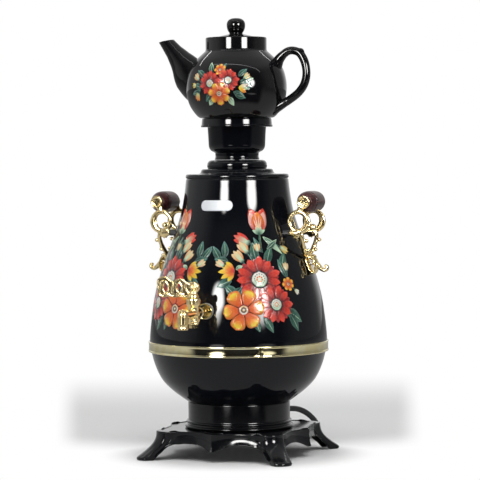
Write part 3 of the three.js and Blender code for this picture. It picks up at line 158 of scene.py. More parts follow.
def swept(points, across, along_y=None, sides=16, per_span=6, closed=False, bm=None, start_side=None):
    """A tube extruded along a smooth line; across and along_y are its half sizes at even shares of the way."""
    bm = bm or bmesh.new()
    line = smooth_line(points, per_span, closed)
    along_y = along_y or across
    last = len(line) - 1

    def size(values, i):
        place = i / len(line) * len(values) if closed else i / last * (len(values) - 1)
        low = int(place) if closed else min(int(place), len(values) - 2)
        return values[low] + (values[(low + 1) % len(values)] - values[low]) * (place - low)

    ways = []
    for i, here in enumerate(line):
        before = line[i - 1] if i or closed else here
        after = line[(i + 1) % len(line)] if i < last or closed else here
        ways.append((after - before).normalized())
    side = Vector(start_side or (0, 1, 0))
    side = (side - ways[0] * side.dot(ways[0])).normalized()
    frames = []
    for here, way in zip(line, ways):
        side = (side - way * side.dot(way)).normalized()
        frames.append((here, side, side.cross(way), way))

    def matrix(i):
        here, first, second, way = frames[i]
        turn = Matrix((second * size(across, i), first * size(along_y, i), way)).transposed().to_4x4()
        return Matrix.Translation(here) @ turn

    loop = bmesh.ops.create_circle(bm, cap_ends=not closed, segments=sides, radius=1, matrix=matrix(0))["verts"]
    edges = list({e for v in loop for e in v.link_edges if all(w in loop for w in e.verts)})
    first_edges = edges
    for i in range(1, len(line)):
        made = bmesh.ops.extrude_edge_only(bm, edges=edges)
        edges = only(BMEdge, made)
        bmesh.ops.transform(bm, matrix=matrix(i) @ matrix(i - 1).inverted(), verts=only(BMVert, made))
    if closed:
        bmesh.ops.bridge_loops(bm, edges=edges + first_edges)
    else:
        bmesh.ops.contextual_create(bm, geom=edges)
    return bm


def ball(centre, radius, stretch=(1, 1, 1), bm=None, turn=None, rings=12):
    """A ball, stretched along its own axes."""
    bm = bm or bmesh.new()
    matrix = Matrix.Translation(centre) @ (turn or Matrix.Identity(4)) @ Matrix.Diagonal((*stretch, 1))
    bmesh.ops.create_uvsphere(bm, u_segments=rings * 2, v_segments=rings, radius=radius, matrix=matrix)
    return bm


def bar(start, end, radius, end_radius=None, sides=24, bm=None):
    """A round bar between two points."""
    bm = bm or bmesh.new()
    start, end = Vector(start), Vector(end)
    way = end - start
    matrix = Matrix.Translation((start + end) / 2) @ way.to_track_quat("Z", "Y").to_matrix().to_4x4()
    bmesh.ops.create_cone(bm, cap_ends=True, segments=sides, radius1=radius,
        radius2=radius if end_radius is None else end_radius, depth=way.length, matrix=matrix)
    return bm


def plate(outline, thickness, holes=(), bm=None):
    """A plate in the XZ plane from a closed outline, with holes, spread evenly about y = 0."""
    bm = bm or bmesh.new()
    edges = []
    for loop in (outline, *holes):
        verts = [bm.verts.new((x, -thickness / 2, z)) for x, z in loop]
        edges += [bm.edges.new((a, b)) for a, b in zip(verts, verts[1:] + verts[:1])]
    faces = only(BMFace, bmesh.ops.triangle_fill(bm, use_beauty=True, edges=edges))
    made = bmesh.ops.extrude_face_region(bm, geom=faces)
    bmesh.ops.translate(bm, verts=only(BMVert, made), vec=(0, thickness, 0))
    return bm


def placed(name, data, finish=None):
    """A new object at the scene's origin."""
    obj = bpy.data.objects.new(name, data)
    bpy.context.scene.collection.objects.link(obj)
    if finish:
        data.materials.append(finish)
    return obj


def meshed(name, bm, finish):
    mesh = bpy.data.meshes.new(name)
    bm.to_mesh(mesh)
    bm.free()
    return placed(name, mesh, finish)


def piece(name, bm, body, finish, stands_for=(), sharp=35, turn=0, clean=True):
    """Makes an object of a mesh in millimetres, gives it its finish, and lets it ride on its body."""
    if clean:
        bmesh.ops.remove_doubles(bm, verts=bm.verts, dist=1e-4)
        bmesh.ops.recalc_face_normals(bm, faces=bm.faces)
    if turn:
        bmesh.ops.rotate(bm, verts=bm.verts, matrix=Matrix.Rotation(turn, 3, "Z"))
    bmesh.ops.transform(bm, matrix=TO_FRAME, verts=bm.verts)
    obj = meshed(name, bm, finish)
    obj.data.shade_smooth()
    obj.data.set_sharp_from_angle(angle=math.radians(sharp))
    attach(obj, body)
    if stands_for:
        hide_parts(*stands_for)
    return obj


def modified(obj, kind, **settings):
    """Adds a live modifier; its lengths are in metres."""
    modifier = obj.modifiers.new(kind.lower(), kind)
    for key, value in settings.items():
        setattr(modifier, key, value)


def cast(obj, grain, passes):
    """Fuses a piece's overlapping shapes into one casting with soft inner corners; grain is in millimetres."""
    modified(obj, "REMESH", mode="VOXEL", voxel_size=grain / 1000, use_smooth_shade=True)
    modified(obj, "SMOOTH", factor=0.5, iterations=passes)


# ------------------------------------------------------------------ finishes

class Wire:
    """One output of a material's node, with the arithmetic that shader maths needs."""

    def __init__(self, finish, socket):
        self.finish = finish
        self.socket = socket

    def maths(self, operation, *values):
        return self.finish.node("ShaderNodeMath", {"operation": operation}, dict(enumerate(values)))

    def __add__(self, other):
        return self.maths("ADD", self, other)

    def __sub__(self, other):
        return self.maths("SUBTRACT", self, other)

    def __rsub__(self, other):
        return self.maths("SUBTRACT", other, self)

    def __mul__(self, other):
        return self.maths("MULTIPLY", self, other)

    def __truediv__(self, other):
        return self.maths("DIVIDE", self, other)

    def __neg__(self):
        return self * -1

    def __abs__(self):
        return self.maths("ABSOLUTE", self)

    __radd__, __rmul__ = __add__, __mul__

    def between(self, low, high):
        """0 below low, 1 above high, and smooth between them."""
        return self.finish.node("ShaderNodeMapRange", {"interpolation_type": "SMOOTHSTEP"},
            {"Value": self, "From Min": low, "From Max": high})


class Finish:
    """A material or the world's shader, built up node by node."""

    def __init__(self, name, owner=None):
        self.owner = owner or bpy.data.materials.new(name)
        self.owner.use_nodes = True
        self.tree = self.owner.node_tree
        self.tree.nodes.clear()

    def node(self, kind, settings=None, values=None, output=0):
        """One node: its settings first, then the values or links of its sockets. Returns one output as a Wire."""
        made = self.tree.nodes.new(kind)
        for key, value in (settings or {}).items():
            if key == "stops":
                ramp = made.color_ramp
                while len(ramp.elements) < len(value):
                    ramp.elements.new(0.5)
                for stop, (place, colour) in zip(ramp.elements, value):
                    stop.position = place
                    stop.color = (*colour, 1) if len(colour) == 3 else colour
            else:
                setattr(made, key, value)
        for key, value in (values or {}).items():
            socket = made.inputs[key]
            if isinstance(value, Wire):
                self.tree.links.new(value.socket, socket)
            else:
                socket.default_value = value
        return Wire(self, made.outputs[output])

    def places(self, stretch=(1, 1, 1)):
        """Object coordinates in millimetres, stretched along the axes."""
        place = self.node("ShaderNodeTexCoord", output="Object")
        return self.node("ShaderNodeMapping", None, {"Vector": place, "Scale": [1000 * s for s in stretch]})

    def noise(self, places, scale, detail=3.0, roughness=0.55):
        return self.node("ShaderNodeTexNoise", None, {"Vector": places, "Scale": scale, "Detail": detail,
            "Roughness": roughness})

    def parts(self, vector):
        """The three numbers of a vector."""
        split = self.node("ShaderNodeSeparateXYZ", None, {"Vector": vector})
        return [Wire(self, socket) for socket in split.socket.node.outputs]

    def vector(self, operation, first, second=(0, 0, 0), output=1):
        """Maths of two places or directions."""
        return self.node("ShaderNodeVectorMath", {"operation": operation}, {0: first, 1: second}, output)

    def blend(self, share, first, second):
        """A colour between two others."""
        first, second = (c if isinstance(c, Wire) else (*c, 1) for c in (first, second))
        return self.node("ShaderNodeMix", {"data_type": "RGBA", "blend_type": "MIX"},
            {0: share, 6: first, 7: second}, 2)

    def shades(self, share, colour, darker, lighter):
        """One colour that runs from a darker to a lighter shade of itself."""
        return self.blend(share, [c * darker for c in colour], [min(c * lighter, 1) for c in colour])

    def mix(self, share, first, second):
        return self.node("ShaderNodeMixShader", None, {0: share, 1: first, 2: second})

    def glow(self, strength, colour=(1, 0.99, 0.97, 1)):
        return self.node("ShaderNodeEmission", None, {"Color": colour, "Strength": strength})

    def bump(self, height, distance):
        """A bump; distance is in millimetres."""
        return self.node("ShaderNodeBump", None, {"Height": height, "Distance": distance / 1000})

    def surface(self, colour, roughness, bump=None, **sockets):
        values = {"Base Color": colour if isinstance(colour, Wire) else (*colour, 1), "Roughness": roughness}
        if bump is not None:
            values["Normal"] = bump
        for key, value in sockets.items():
            values[key.replace("_", " ")] = value
        return self.end(self.node("ShaderNodeBsdfPrincipled", None, values))

    def end(self, shader, kind="Material"):
        out = self.tree.nodes.new("ShaderNodeOutput" + kind)
        self.tree.links.new(shader.socket, out.inputs["Surface"])
        return self.owner


def black_enamel(name, base, polish, ripple, ior=1.36):
    """Fired black enamel: deep and glossy, with a slight orange peel and faint wipe marks."""
    f = Finish(name)
    where = f.places()
    cloud = f.noise(where, 0.02, 2)
    speck = f.noise(where, 0.55, 2)
    wipe = f.noise(f.places((1, 1, 0.12)), 0.11, 4, 0.6)
    colour = f.shades(cloud, base, 0.8, 1.25)
    rough = polish + (wipe - 0.5) * polish * 0.8 + speck.between(0.66, 0.74) * 0.04
    height = f.noise(where, 0.075, 1) + speck * 0.05
    return f.surface(colour, rough, f.bump(height, ripple), IOR=ior)


def plated_gold(name, colour, polish, grain=0.008):
    """Pale gold plating over a cast surface, warmer in the hollows."""
    f = Finish(name)
    where = f.places()
    cloud = f.noise(where, 0.09, 4)
    fine = f.noise(where, 1.2, 3)
    tone = f.blend(cloud.between(0.35, 0.65), [c * s for c, s in zip(colour, (0.94, 0.88, 0.74))], colour)
    rough = polish + (cloud - 0.5) * 0.08 + fine * 0.05
    return f.surface(tone, rough, f.bump(f.noise(where, 0.5, 3), grain), Metallic=1.0)


def varnished_grip(name):
    """Turned mahogany, stained nearly black red, under a thick clear varnish."""
    f = Finish(name)
    where = f.places((1, 0.12, 1))
    rings = f.noise(where, 0.42, 5, 0.62)
    pores = f.noise(f.places((1, 0.06, 1)), 2.2, 2)
    colour = f.node("ShaderNodeValToRGB", {"stops": [(0.3, (0.022, 0.006, 0.007)), (0.5, (0.05, 0.012, 0.013)),
        (0.72, (0.105, 0.026, 0.024))]}, {"Fac": rings})
    colour = f.blend(pores.between(0.56, 0.64) * 0.6, colour, (0.012, 0.004, 0.004))
    return f.surface(colour, 0.36 + rings * 0.1, f.bump(rings + pores * 0.3, 0.03), IOR=1.3, Coat_Weight=0.4,
        Coat_Roughness=0.1, Coat_IOR=1.3)


def brushed_steel(name, tone=0.52):
    f = Finish(name)
    lines = f.noise(f.places((1, 1, 0.06)), 1.6, 4)
    colour = f.blend(lines, (tone * 0.85,) * 3, (tone * 1.1, tone * 1.12, tone * 1.15))
    return f.surface(colour, 0.28 + lines * 0.18, f.bump(lines, 0.01), Metallic=1.0)


def moulded(name, colour, polish=0.45, grain=0.03, scale=1.4):
    """Moulded plastic or rubber with a fine grain."""
    f = Finish(name)
    where = f.places()
    fine = f.noise(where, scale, 3)
    cloud = f.noise(where, 0.05, 2)
    tone = f.shades(cloud, colour, 0.8, 1.2)
    return f.surface(tone, polish + (fine - 0.5) * 0.15, f.bump(fine, grain))


def satin_label(name):
    """A pale satin label, left blank, with the faint texture of printed film."""
    f = Finish(name)
    where = f.places()
    fibre = f.noise(where, 0.9, 4)
    cloud = f.noise(where, 0.12, 2)
    tone = f.blend(cloud, (0.71, 0.74, 0.78), (0.8, 0.83, 0.86))
    return f.surface(tone, 0.32 + fibre * 0.12, f.bump(fibre, 0.012))


def striped_lead(name):
    f = Finish(name)
    where = f.parts(f.places())[0]
    stripe = where.maths("SINE", where * 0.9)
    colour = f.blend(stripe.between(-0.1, 0.1), (0.05, 0.25, 0.04), (0.5, 0.45, 0.03))
    return f.surface(colour, 0.5 + stripe * 0.02)


def printed_colours(name):
    """Flower transfers fired under the glaze: petals run from an inner to an outer colour, with fine strokes."""
    f = Finish(name)
    inner = f.node("ShaderNodeVertexColor", {"layer_name": "inner"})
    outer = f.node("ShaderNodeVertexColor", {"layer_name": "outer"})
    along = f.node("ShaderNodeUVMap", {"uv_map": "petal"})
    across, way, _ = f.parts(along)
    strokes = f.noise(f.node("ShaderNodeMapping", None, {"Vector": along, "Scale": (9, 1.3, 1)}), 1.4, 4, 0.6)
    mottle = f.noise(f.places(), 0.35, 3)
    share = (way + (strokes - 0.5) * 0.7).between(0.05, 0.95)
    colour = f.blend(share, inner, outer)
    edge = abs(across - 0.5).between(0.34, 0.5)
    colour = f.blend(edge * 0.35, colour, f.blend(0.65, outer, (0.02, 0.015, 0.015)))
    colour = f.blend((mottle - 0.5) * 0.4 + 0.03, colour, f.blend(0.5, colour, (0.9, 0.85, 0.8)))
    return f.surface(colour, 0.34 + (strokes - 0.5) * 0.1, None, IOR=1.2, Coat_Weight=1.0, Coat_Roughness=0.05,
        Coat_IOR=1.36)


enamel = black_enamel("black_body_enamel", (0.0042, 0.0048, 0.0068), 0.05, 0.004)
casting_enamel = black_enamel("black_casting_enamel", (0.0046, 0.005, 0.0064), 0.12, 0.02)
glaze = black_enamel("black_teapot_glaze", (0.005, 0.005, 0.0058), 0.035, 0.003, 1.4)
gold = plated_gold("pale_gold_plating", (0.84, 0.69, 0.38), 0.17)
band_gold = plated_gold("pale_gold_band", (0.78, 0.73, 0.47), 0.05, 0.002)
mahogany = varnished_grip("varnished_mahogany")
steel = brushed_steel("brushed_steel")
zinc = brushed_steel("zinc_plated_steel", 0.42)
seal_rubber = moulded("grey_silicone", (0.3, 0.29, 0.28), 0.6)
black_plastic = moulded("black_moulding", (0.014, 0.014, 0.015), 0.42)
cord_rubber = moulded("cord_sheath", (0.007, 0.007, 0.0078), 0.42, 0.02, 2.2)
brown_sleeve = moulded("brown_lead_sleeve", (0.16, 0.06, 0.025), 0.45)
blue_sleeve = moulded("blue_lead_sleeve", (0.03, 0.10, 0.35), 0.45)
earth_sleeve = striped_lead("striped_earth_sleeve")
white_label = satin_label("blank_label_film")
flower_print = printed_colours("flower_transfers")


# ------------------------------------------------------------------ camera

camera = placed("photo_camera", bpy.data.cameras.new("photo_camera"))
camera.data.lens = 176.25
camera.data.sensor_width = 36
camera.data.shift_x = (240 - 237.7) / 480
camera.data.clip_start = 0.1
camera.data.clip_end = 60
camera.matrix_world = (
    Matrix.Translation((1.0335, -2.5887, 0.3648))
    @ Matrix.Rotation(CAMERA_TURN, 4, "Z")
    @ Matrix.Rotation(math.radians(90 - 2.17), 4, "X")
    @ Matrix.Rotation(math.radians(-0.48), 4, "Z")
)
bpy.context.scene.camera = camera


# ------------------------------------------------------------------ mains cord, coiled up behind the stand

COLLAR_WALL = 61.2
BOOT_LENGTH = 26
CORD_EXIT_HEIGHT = 46
relief_way = Vector((sind(18), cosd(18), 0))


def along_relief(distance):
    return relief_way * distance + Vector((0, 0, CORD_EXIT_HEIGHT))


COIL_MIDDLE = Vector((-205 * math.sin(CAMERA_TURN), 205 * math.cos(CAMERA_TURN), 0))
COIL_TURNS = 3.5
COIL_PITCH = 7.8
COIL_OUTER = 45.6


def coil_point(turns):
    """The stored cord winds in, climbs a layer and winds out again over itself."""
    angle = math.radians(54.6) + turns * FULL_TURN
    radius = COIL_OUTER - COIL_PITCH * (turns if turns < COIL_TURNS / 2 else COIL_TURNS - turns)
    climb = min(max((turns - 1.5) / 0.5, 0), 1)
    height = 4.8 + COIL_PITCH * climb * climb * (3 - 2 * climb)
    return COIL_MIDDLE + Vector((math.cos(angle) * radius, math.sin(angle) * radius, height))


coil_line = [coil_point(i / 24) for i in range(int(COIL_TURNS * 24) + 1)]
coil_in = (coil_line[0] - coil_line[1]).normalized()
coil_out = (coil_line[-1] - coil_line[-2]).normalized()
free_route = [(37, 107, 44), (43, 119, 38.5), (47.5, 131, 30), (49, 143, 20), (46, 154, 11.5), (39, 164, 6),
    (29.5, 172.2, 4.4), (20, 179, 4), (5.3, 189.4, 4), (-12.6, 202.2, 4.4)]
cord_start = along_relief(COLLAR_WALL + BOOT_LENGTH + 0.3)
free_line = smooth_line([cord_start, along_relief(COLLAR_WALL + BOOT_LENGTH + 3.5), (31.4, 95, 46), *free_route,
    coil_line[0] + coil_in * 7], 3)
cord_line = free_line + coil_line + [coil_line[-1] + coil_out * 7]
cord_curve = bpy.data.curves.new("mains_cord", "CURVE")
cord_curve.dimensions = "3D"
cord_curve.bevel_depth = 0.0035
cord_curve.bevel_resolution = 5
cord_curve.use_fill_caps = True
cord_curve.resolution_u = 3
run = cord_curve.splines.new("BEZIER")
run.bezier_points.add(len(cord_line) - 1)
for knot, place in zip(run.bezier_points, cord_line):
    knot.co = in_frame(place)
    knot.handle_left_type = knot.handle_right_type = "AUTO"
mains_cord = placed("mains_cord", cord_curve, cord_rubber)
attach(mains_cord, "samovar")
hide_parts("power_cord", "cord_coil")
cord_length = sum((b - a).length for a, b in zip(cord_line, cord_line[1:])) / 1000


def relief_boot():
    """A ribbed rubber boot, tapered towards its tip, with a flange against the collar."""
    outline = [(4.0, 0.3), (7.5, 0.3), (7.5, 2.9), (5.1, 2.9)]
    outline = eased(outline, 0.5)
    ribs = 7
    for rib in range(ribs):
        near = 4.4 + rib * 3.0
        taper = 6 - (6 - 4.5) * rib / (ribs - 1)
        outline += eased([(taper * 0.86, near - 0.6), (taper, near - 0.3), (taper, near + 1.3),
            (taper * 0.86, near + 1.6)], 0.3, 3)
    outline += [(4.3, 25.2), (4.25, 26.0), (3.6, 26.0)]
    return turned(outline + [(3.6, 0.3)], 40, closed=True, axis=relief_way, centre=along_relief(COLLAR_WALL))


strain_relief = piece("strain_relief_boot", relief_boot(), "samovar", cord_rubber, ["strain_relief"])

plug_start = coil_line[-1] + coil_out * 7.3


def plug_moulding():
    """A round mains plug: ribbed neck, moulded disc with a grip rim and a recessed face."""
    bm = turned(eased([(3.7, 0), (4.3, 0), (4.6, 4), (5.3, 4.3), (5.3, 5.7), (4.8, 6), (5, 8.6), (5.6, 9),
        (5.6, 10.4), (5.2, 10.8), (5.4, 13.4), (6, 14), (6, 15.4), (5.7, 16), (6.4, 22), (3.7, 22)], 0.3, 2), 32,
        closed=True, axis=coil_out, centre=plug_start)
    middle = plug_start + coil_out * 39
    middle.z = 0
    disc = eased([(0, 0), (18, 0), (19, 2), (18.6, 5), (18.6, 16), (19, 20), (19, 24), (16, 24), (16, 21), (0, 21)],
        0.8)
    turned(disc, 72, bm=bm, centre=middle)
    return bm


plug = piece("mains_plug", plug_moulding(), "samovar", black_plastic, ["plug_body"])


# ------------------------------------------------------------------ body

SHELL_OUTER = profile([(106.4, 131.6), (106.4, 142), (105.1, 157), (103.4, 171), (101.2, 186), (98.1, 200),
    (94.2, 214.6), (89.7, 228), (83.1, 246), (76.5, 264), (70.6, 281), (66.1, 298), (62.9, 318), (61.8, 328),
    (61.5, 330.6)], 4)
WALL = 1.6


def inside_of(outer, wall, low, high):
    """The inner face of a wall, downwards, between two heights."""
    return [p for p in beside(outer, wall)[::-1] if low < p[1] < high]


# The tapering upper half, with a rolled bead round its mouth
mouth_bead = eased([(61.5, 330.6), (60.6, 331.6), (60.7, 332.3), (61.4, 332.8), (61.9, 334.4), (61.5, 336.4),
    (60, 337.3), (58, 337.3), (56.7, 336.4), (56.3, 335.9), (52.4, 335.9), (51.5, 335), (51.5, 334.2),
    (52.6, 333.6)], 0.5, 3)
piece("upper_body", turned(SHELL_OUTER + mouth_bead + [(58.6, 332.4), (59.8, 330.6)]
    + inside_of(SHELL_OUTER, WALL, 0, 329), 192, True), "samovar", enamel, ["upper_shell"], 50)

bowl_outer = profile([(62.6, 65.8), (66.8, 68.8), (75.6, 75.2), (84.6, 83), (91.4, 90.6), (95.8, 98), (99.1, 105.4),
    (101.8, 113), (103.8, 120.7), (105.6, 128), (106.2, 131)], 4)
bowl_edge = [(104.4, 131.0), (104.4, 138.4), (102.9, 138.4)]
bowl_floor = [(60.8, 67.4), (10, 67.4), (9.6, 65.8)]
piece("lower_body", turned(bowl_outer + bowl_edge + inside_of(bowl_outer, WALL, 68.2, 129.5) + bowl_floor, 192,
    True), "samovar", enamel, ["lower_bowl"], 50)

# The plated band over the body's joint, with rolled edges and a shallow channel
BAND_LOW, BAND_HIGH = 125.0, 137.8
band_edge = [(106.8, 0), (107.75, 0.1), (108.2, 0.9), (108.05, 1.9), (107.7, 2.5)]
band_outline = [(r, BAND_LOW + d) for r, d in band_edge] + [(r, BAND_HIGH - d) for r, d in band_edge[::-1]]
piece("seam_band_ring", turned(eased(band_outline, 0.5, 3), 192, True), "samovar", band_gold, ["seam_band"], 60)


def band_lap():
    """The flat lap where the band's two ends are crimped together."""
    bm = bmesh.new()
    turn = Matrix.Rotation(math.radians(35.6), 4, "Z")
    for wide, tall, proud in ((5.2, 12.0, 0.25), (1.2, 10.6, 0.45)):
        made = bmesh.ops.create_cube(bm, size=1, matrix=turn @ Matrix.Translation((0, -(107.7 + proud / 2), 131.4))
            @ Matrix.Diagonal((wide, 0.7 + proud, tall, 1)))["verts"]
        edges = list({e for v in made for e in v.link_edges})
        bmesh.ops.bevel(bm, geom=edges, affect="EDGES", offset=0.25, segments=3, profile=0.5, material=-1)
    return bm


piece("seam_band_lap", band_lap(), "samovar", band_gold)

# The turned pedestal: plain wall above, two beads and a foot below
outline = eased([(57, 65.3), (52, 65.3), (52, 62.3), (58.6, 62.3), (58.6, 33.9), (64, 33.9), (64.2, 34.6)], 0.4, 2)
for radius, middle, half, neck in ((65.2, 35.8, 1.9, 62.2), (63.3, 41, 1.5, 61.7)):
    outline += [(neck + (radius - neck) * cosd(a) ** 0.8, middle + half * sind(a)) for a in range(-84, 85, 14)]
outline += eased([(61.5, 42.9), (COLLAR_WALL, 43.8), (COLLAR_WALL, 64.2), (60.2, 65.3), (57, 65.3)], 0.8, 4)
piece("pedestal_turning", turned(outline[:-1], 160, True), "samovar", casting_enamel, ["pedestal_collar"], 50)

LABEL_TURN = math.radians(-1)
LABEL_HEIGHT = 300.8


def label_pill():
    """A pill-shaped film label that follows the body's curve."""
    bm = bmesh.new()
    half, round_end = 20.4, 6.2
    columns, rows = 56, 12
    bmesh.ops.create_grid(bm, x_segments=columns, y_segments=rows, size=1)
    lift = 0.42
    for v in bm.verts:
        x, up = v.co.x * half, v.co.y
        over = max(abs(x) - (half - round_end), 0)
        reach = math.sqrt(max(round_end ** 2 - over ** 2, 0))
        z = LABEL_HEIGHT + up * reach
        radius = at_height(SHELL_OUTER, z) + lift
        turn = x / radius + LABEL_TURN
        v.co = (radius * math.sin(turn), -radius * math.cos(turn), z)
    bmesh.ops.remove_doubles(bm, verts=bm.verts, dist=0.02)
    return bm


label = piece("blank_plate", label_pill(), "samovar", white_label, ["blank_label"])
modified(label, "SOLIDIFY", thickness=0.0004, offset=-1)


# ------------------------------------------------------------------ lid, cup and crown

# The stepped lid: a flange sunk in the mouth's bead, a round step, and a domed ring that carries the cup
outline = eased([(49.4, 336.3), (56, 336.3), (56.1, 336.9), (55.6, 337.3), (48, 337.5), (44.8, 338.2), (43.5, 340),
    (43.1, 342), (41.4, 343.3), (36, 343.5)], 0.9, 4)
ring = profile([(35.2, 343.9), (35.8, 346), (35.9, 348.4), (35.2, 351), (33.4, 353.1), (30.4, 354.1)], 4)
under = [(3.4, 354.1), (3.4, 351.7), (27, 351.7), (31, 348), (31.4, 342), (46, 336.6), (47.4, 325.4), (49.2, 325.4)]
piece("stepped_lid", turned(outline + ring + under, 160, True), "lid", enamel, ["tank_lid"], 45)

# The cup: a short neck that flares into the wall which holds the crown
outer = eased([(26.4, 354.4), (26.8, 354.9), (26.6, 356), (26.1, 357.4), (26, 361.8)], 0.6, 4)
outer += profile([(26.2, 362.6), (27.8, 363.7), (30.7, 365.2), (32.7, 367.6), (33.7, 370.6), (34.2, 377),
    (34.7, 386), (35.2, 393.3)], 5)
inner = profile([(32.8, 393.3), (32.2, 386), (31.8, 377), (31.2, 371.6), (29.4, 368.6), (26, 366.8), (23.6, 365)],
    4)
piece("teapot_cup", turned(outer + inner + [(23.6, 357.4), (3.4, 357.4), (3.4, 354.4)], 144, True), "lid", enamel,
    ["stand_cup"], 50)

outline = eased([(27, 388.7), (31.4, 388.7), (31.4, 393.5), (42.4, 393.5), (43, 394), (43, 395.4), (42.3, 396.3),
    (41.8, 402), (41.4, 403.8), (38.8, 404.1), (38.8, 401.1), (27, 401.1), (27, 388.7)], 0.5, 3)
piece("crown_turning", turned(outline[:-1], 144, True), "lid", enamel, ["crown_ring"], 50)


# ------------------------------------------------------------------ teapot

# The round pot with its foot ring and neck, hollow inside
POT_OUTER = profile([(38.1, 404.3), (44.5, 404.9), (50.8, 411.2), (56.2, 420), (59.5, 431), (60.4, 441),
    (59.4, 451.3), (55.9, 463.2), (49, 473), (41.8, 480), (37.3, 484)], 5)

foot = eased([(33.5, 402.6), (34.2, 401.3), (37.2, 401.3), (38.1, 402.4), (38.1, 404.3)], 0.5, 3)
neck = eased([(37.3, 484), (36.6, 486.2), (36.6, 499.4), (36.0, 500.4), (34.4, 500.4), (33.7, 499.6), (33.7, 495.4),
    (31.1, 495.2), (31.1, 485), (34, 482.6)], 0.5, 3)
piece("teapot_bowl", turned(foot + POT_OUTER[1:] + neck[1:] + inside_of(POT_OUTER, 3, 407.5, 480)
    + [(37, 405.4), (0.01, 405.4), (0.01, 403), (33, 403)], 160, True), "teapot", glaze, ["teapot"], 50)


def spout_solid():
    """The spout, broad where it grows out of the pot and drawn in to a mouth that is cut off nearly level."""
    line = [(-31.5, 0, 429.4), (-40.4, 0, 435), (-50, 0, 443.6), (-58.2, 0, 453.9), (-64.8, 0, 465),
        (-72.4, 0, 475), (-80.3, 0, 484.7), (-86.2, 0, 492), (-91.2, 0, 498.6), (-95, 0, 504)]
    across = [16.4, 17.2, 18.6, 18.8, 16, 11.4, 8, 6.6, 5.7, 5.4]
    wide = [18, 17.6, 17, 15.4, 13, 10.4, 8.2, 7.2, 6.6, 6.2]
    bm = swept(line, across, wide, 32, 7)
    bmesh.ops.bisect_plane(bm, geom=whole(bm), plane_co=(-90, 0, 498), plane_no=(-0.02, 0, 1), clear_outer=True)
    bmesh.ops.delete(bm, geom=[f for f in bm.faces if len(f.verts) > 8], context="FACES")
    return bm


spout = piece("teapot_spout", spout_solid(), "teapot", glaze, sharp=60)
modified(spout, "SOLIDIFY", thickness=0.0026, offset=-1, use_even_offset=True)
modified(spout, "BEVEL", width=0.0008, segments=3, limit_method="ANGLE", angle_limit=math.radians(50),
    use_clamp_overlap=True)

# The ear-shaped handle with its small thumb rest
line = [(44, 0, 458), (50, 0, 465), (54.4, 0, 472.6), (60.4, 0, 479), (66, 0, 482.6), (72.2, 0, 483.4),
    (80.2, 0, 480.6), (86.4, 0, 471.3), (89.1, 0, 459.5), (88.5, 0, 450), (85.4, 0, 441.6), (80.2, 0, 434.6),
    (75, 0, 430.1), (67.5, 0, 425), (60.6, 0, 421.1), (52, 0, 416.4), (45, 0, 413)]
across = [9.5, 8, 6.2, 5, 4.8, 4.8, 4.9, 5, 4.85, 4.9, 4.9, 4.9, 4.9, 4.9, 5.2, 6, 7.6]
wide = [10, 9, 7, 5.8, 5.4, 5.2, 5.2, 5.2, 5.2, 5.2, 5.2, 5.2, 5.4, 5.6, 6, 7.4, 9.4]
ear = swept(line, across, wide, 24, 5)
swept([(75, 0, 482), (80, 0, 483.2), (83.2, 0, 482.7), (84.6, 0, 480)], [3, 3.1, 3, 2.4], [3.6, 4.2, 4, 3], 20, 5,
    bm=ear)
cast(piece("teapot_handle", ear, "teapot", glaze, sharp=60), 0.7, 8)

# The lid with its round knob, waisted neck and locating skirt
outline = eased([(0.01, 497.4), (27.8, 497.4), (27.8, 490.7), (30.4, 490.7), (30.4, 495.7), (33, 495.7),
    (33.3, 496.6), (32.6, 497.9), (30, 498.4)], 0.4, 3)
outline += profile([(26, 500.2), (18, 502.4), (12, 503.8), (9, 504.5), (7.9, 505.2)], 4)
outline += profile([(8.1, 506.2), (9.7, 508.8), (11, 513.2), (10.9, 517.8), (8.9, 521.3), (5, 523.3),
    (0.01, 523.7)], 5)
piece("teapot_cover", turned(outline, 128), "teapot_lid", glaze, ["teapot_lid"], 50)


# ------------------------------------------------------------------ stand

STAND_TOP = 33.6
KNEE_MIDDLE, KNEE_RADIUS = 88.0, 18.0
KNEE_TURN = math.radians(43.97)
KNEE_CORNER = Vector((100.9, 12.5))
DROP_POINT = Vector((63.64, 63.64))
# The leg's front line: how far out it stands at each height
LEG_LINE = profile([(130.4, 0), (131.3, 0.6), (132, 1.9), (131.8, 3.2), (129.2, 5.2), (125.1, 7.6), (120.2, 11),
    (114.9, 15.1), (110, 20), (107, 25.4), (106, 30), (106, 33.6)], 4)
LEG_HALF_WIDTH = profile([(10.4, 0), (11, 0.7), (11.2, 3), (11.3, 7.4), (11.7, 15), (12.3, 25), (12.5, 33.6)], 4)
# The lower edge of a leg's side and of the skirt: out, across, up, and the share of the scallop above it
SKIRT_EDGE = [(125.3, 10.4, 0, 0), (120.4, 10.6, 0, 0.014), (115, 10.6, 0, 0.028), (112.6, 10.7, 2.1, 0.042),
    (108.8, 11, 6.2, 0.06), (104, 11.6, 10.8, 0.085), (99.6, 13.2, 14.6, 0.115), (94.8, 17.2, 17.6, 0.17),
    (89.8, 23.9, 19.8, 0.27), (84.9, 29.6, 20.8, 0.38), (79.6, 36.0, 21, 0.5)]


def scallop(share):
    """The plate's edge between a knee and the drop, seen from above, and its outward direction."""
    sag = (KNEE_CORNER + DROP_POINT) / 2 + Vector((-0.797, -0.604)) * 12
    first, second = KNEE_CORNER.lerp(sag, share), sag.lerp(DROP_POINT, share)
    way = (second - first).normalized()
    out = Vector((way.y, -way.x))
    if share > 0.999:
        out = Vector((1, 1)).normalized() * 1.13
    return first.lerp(second, share), out


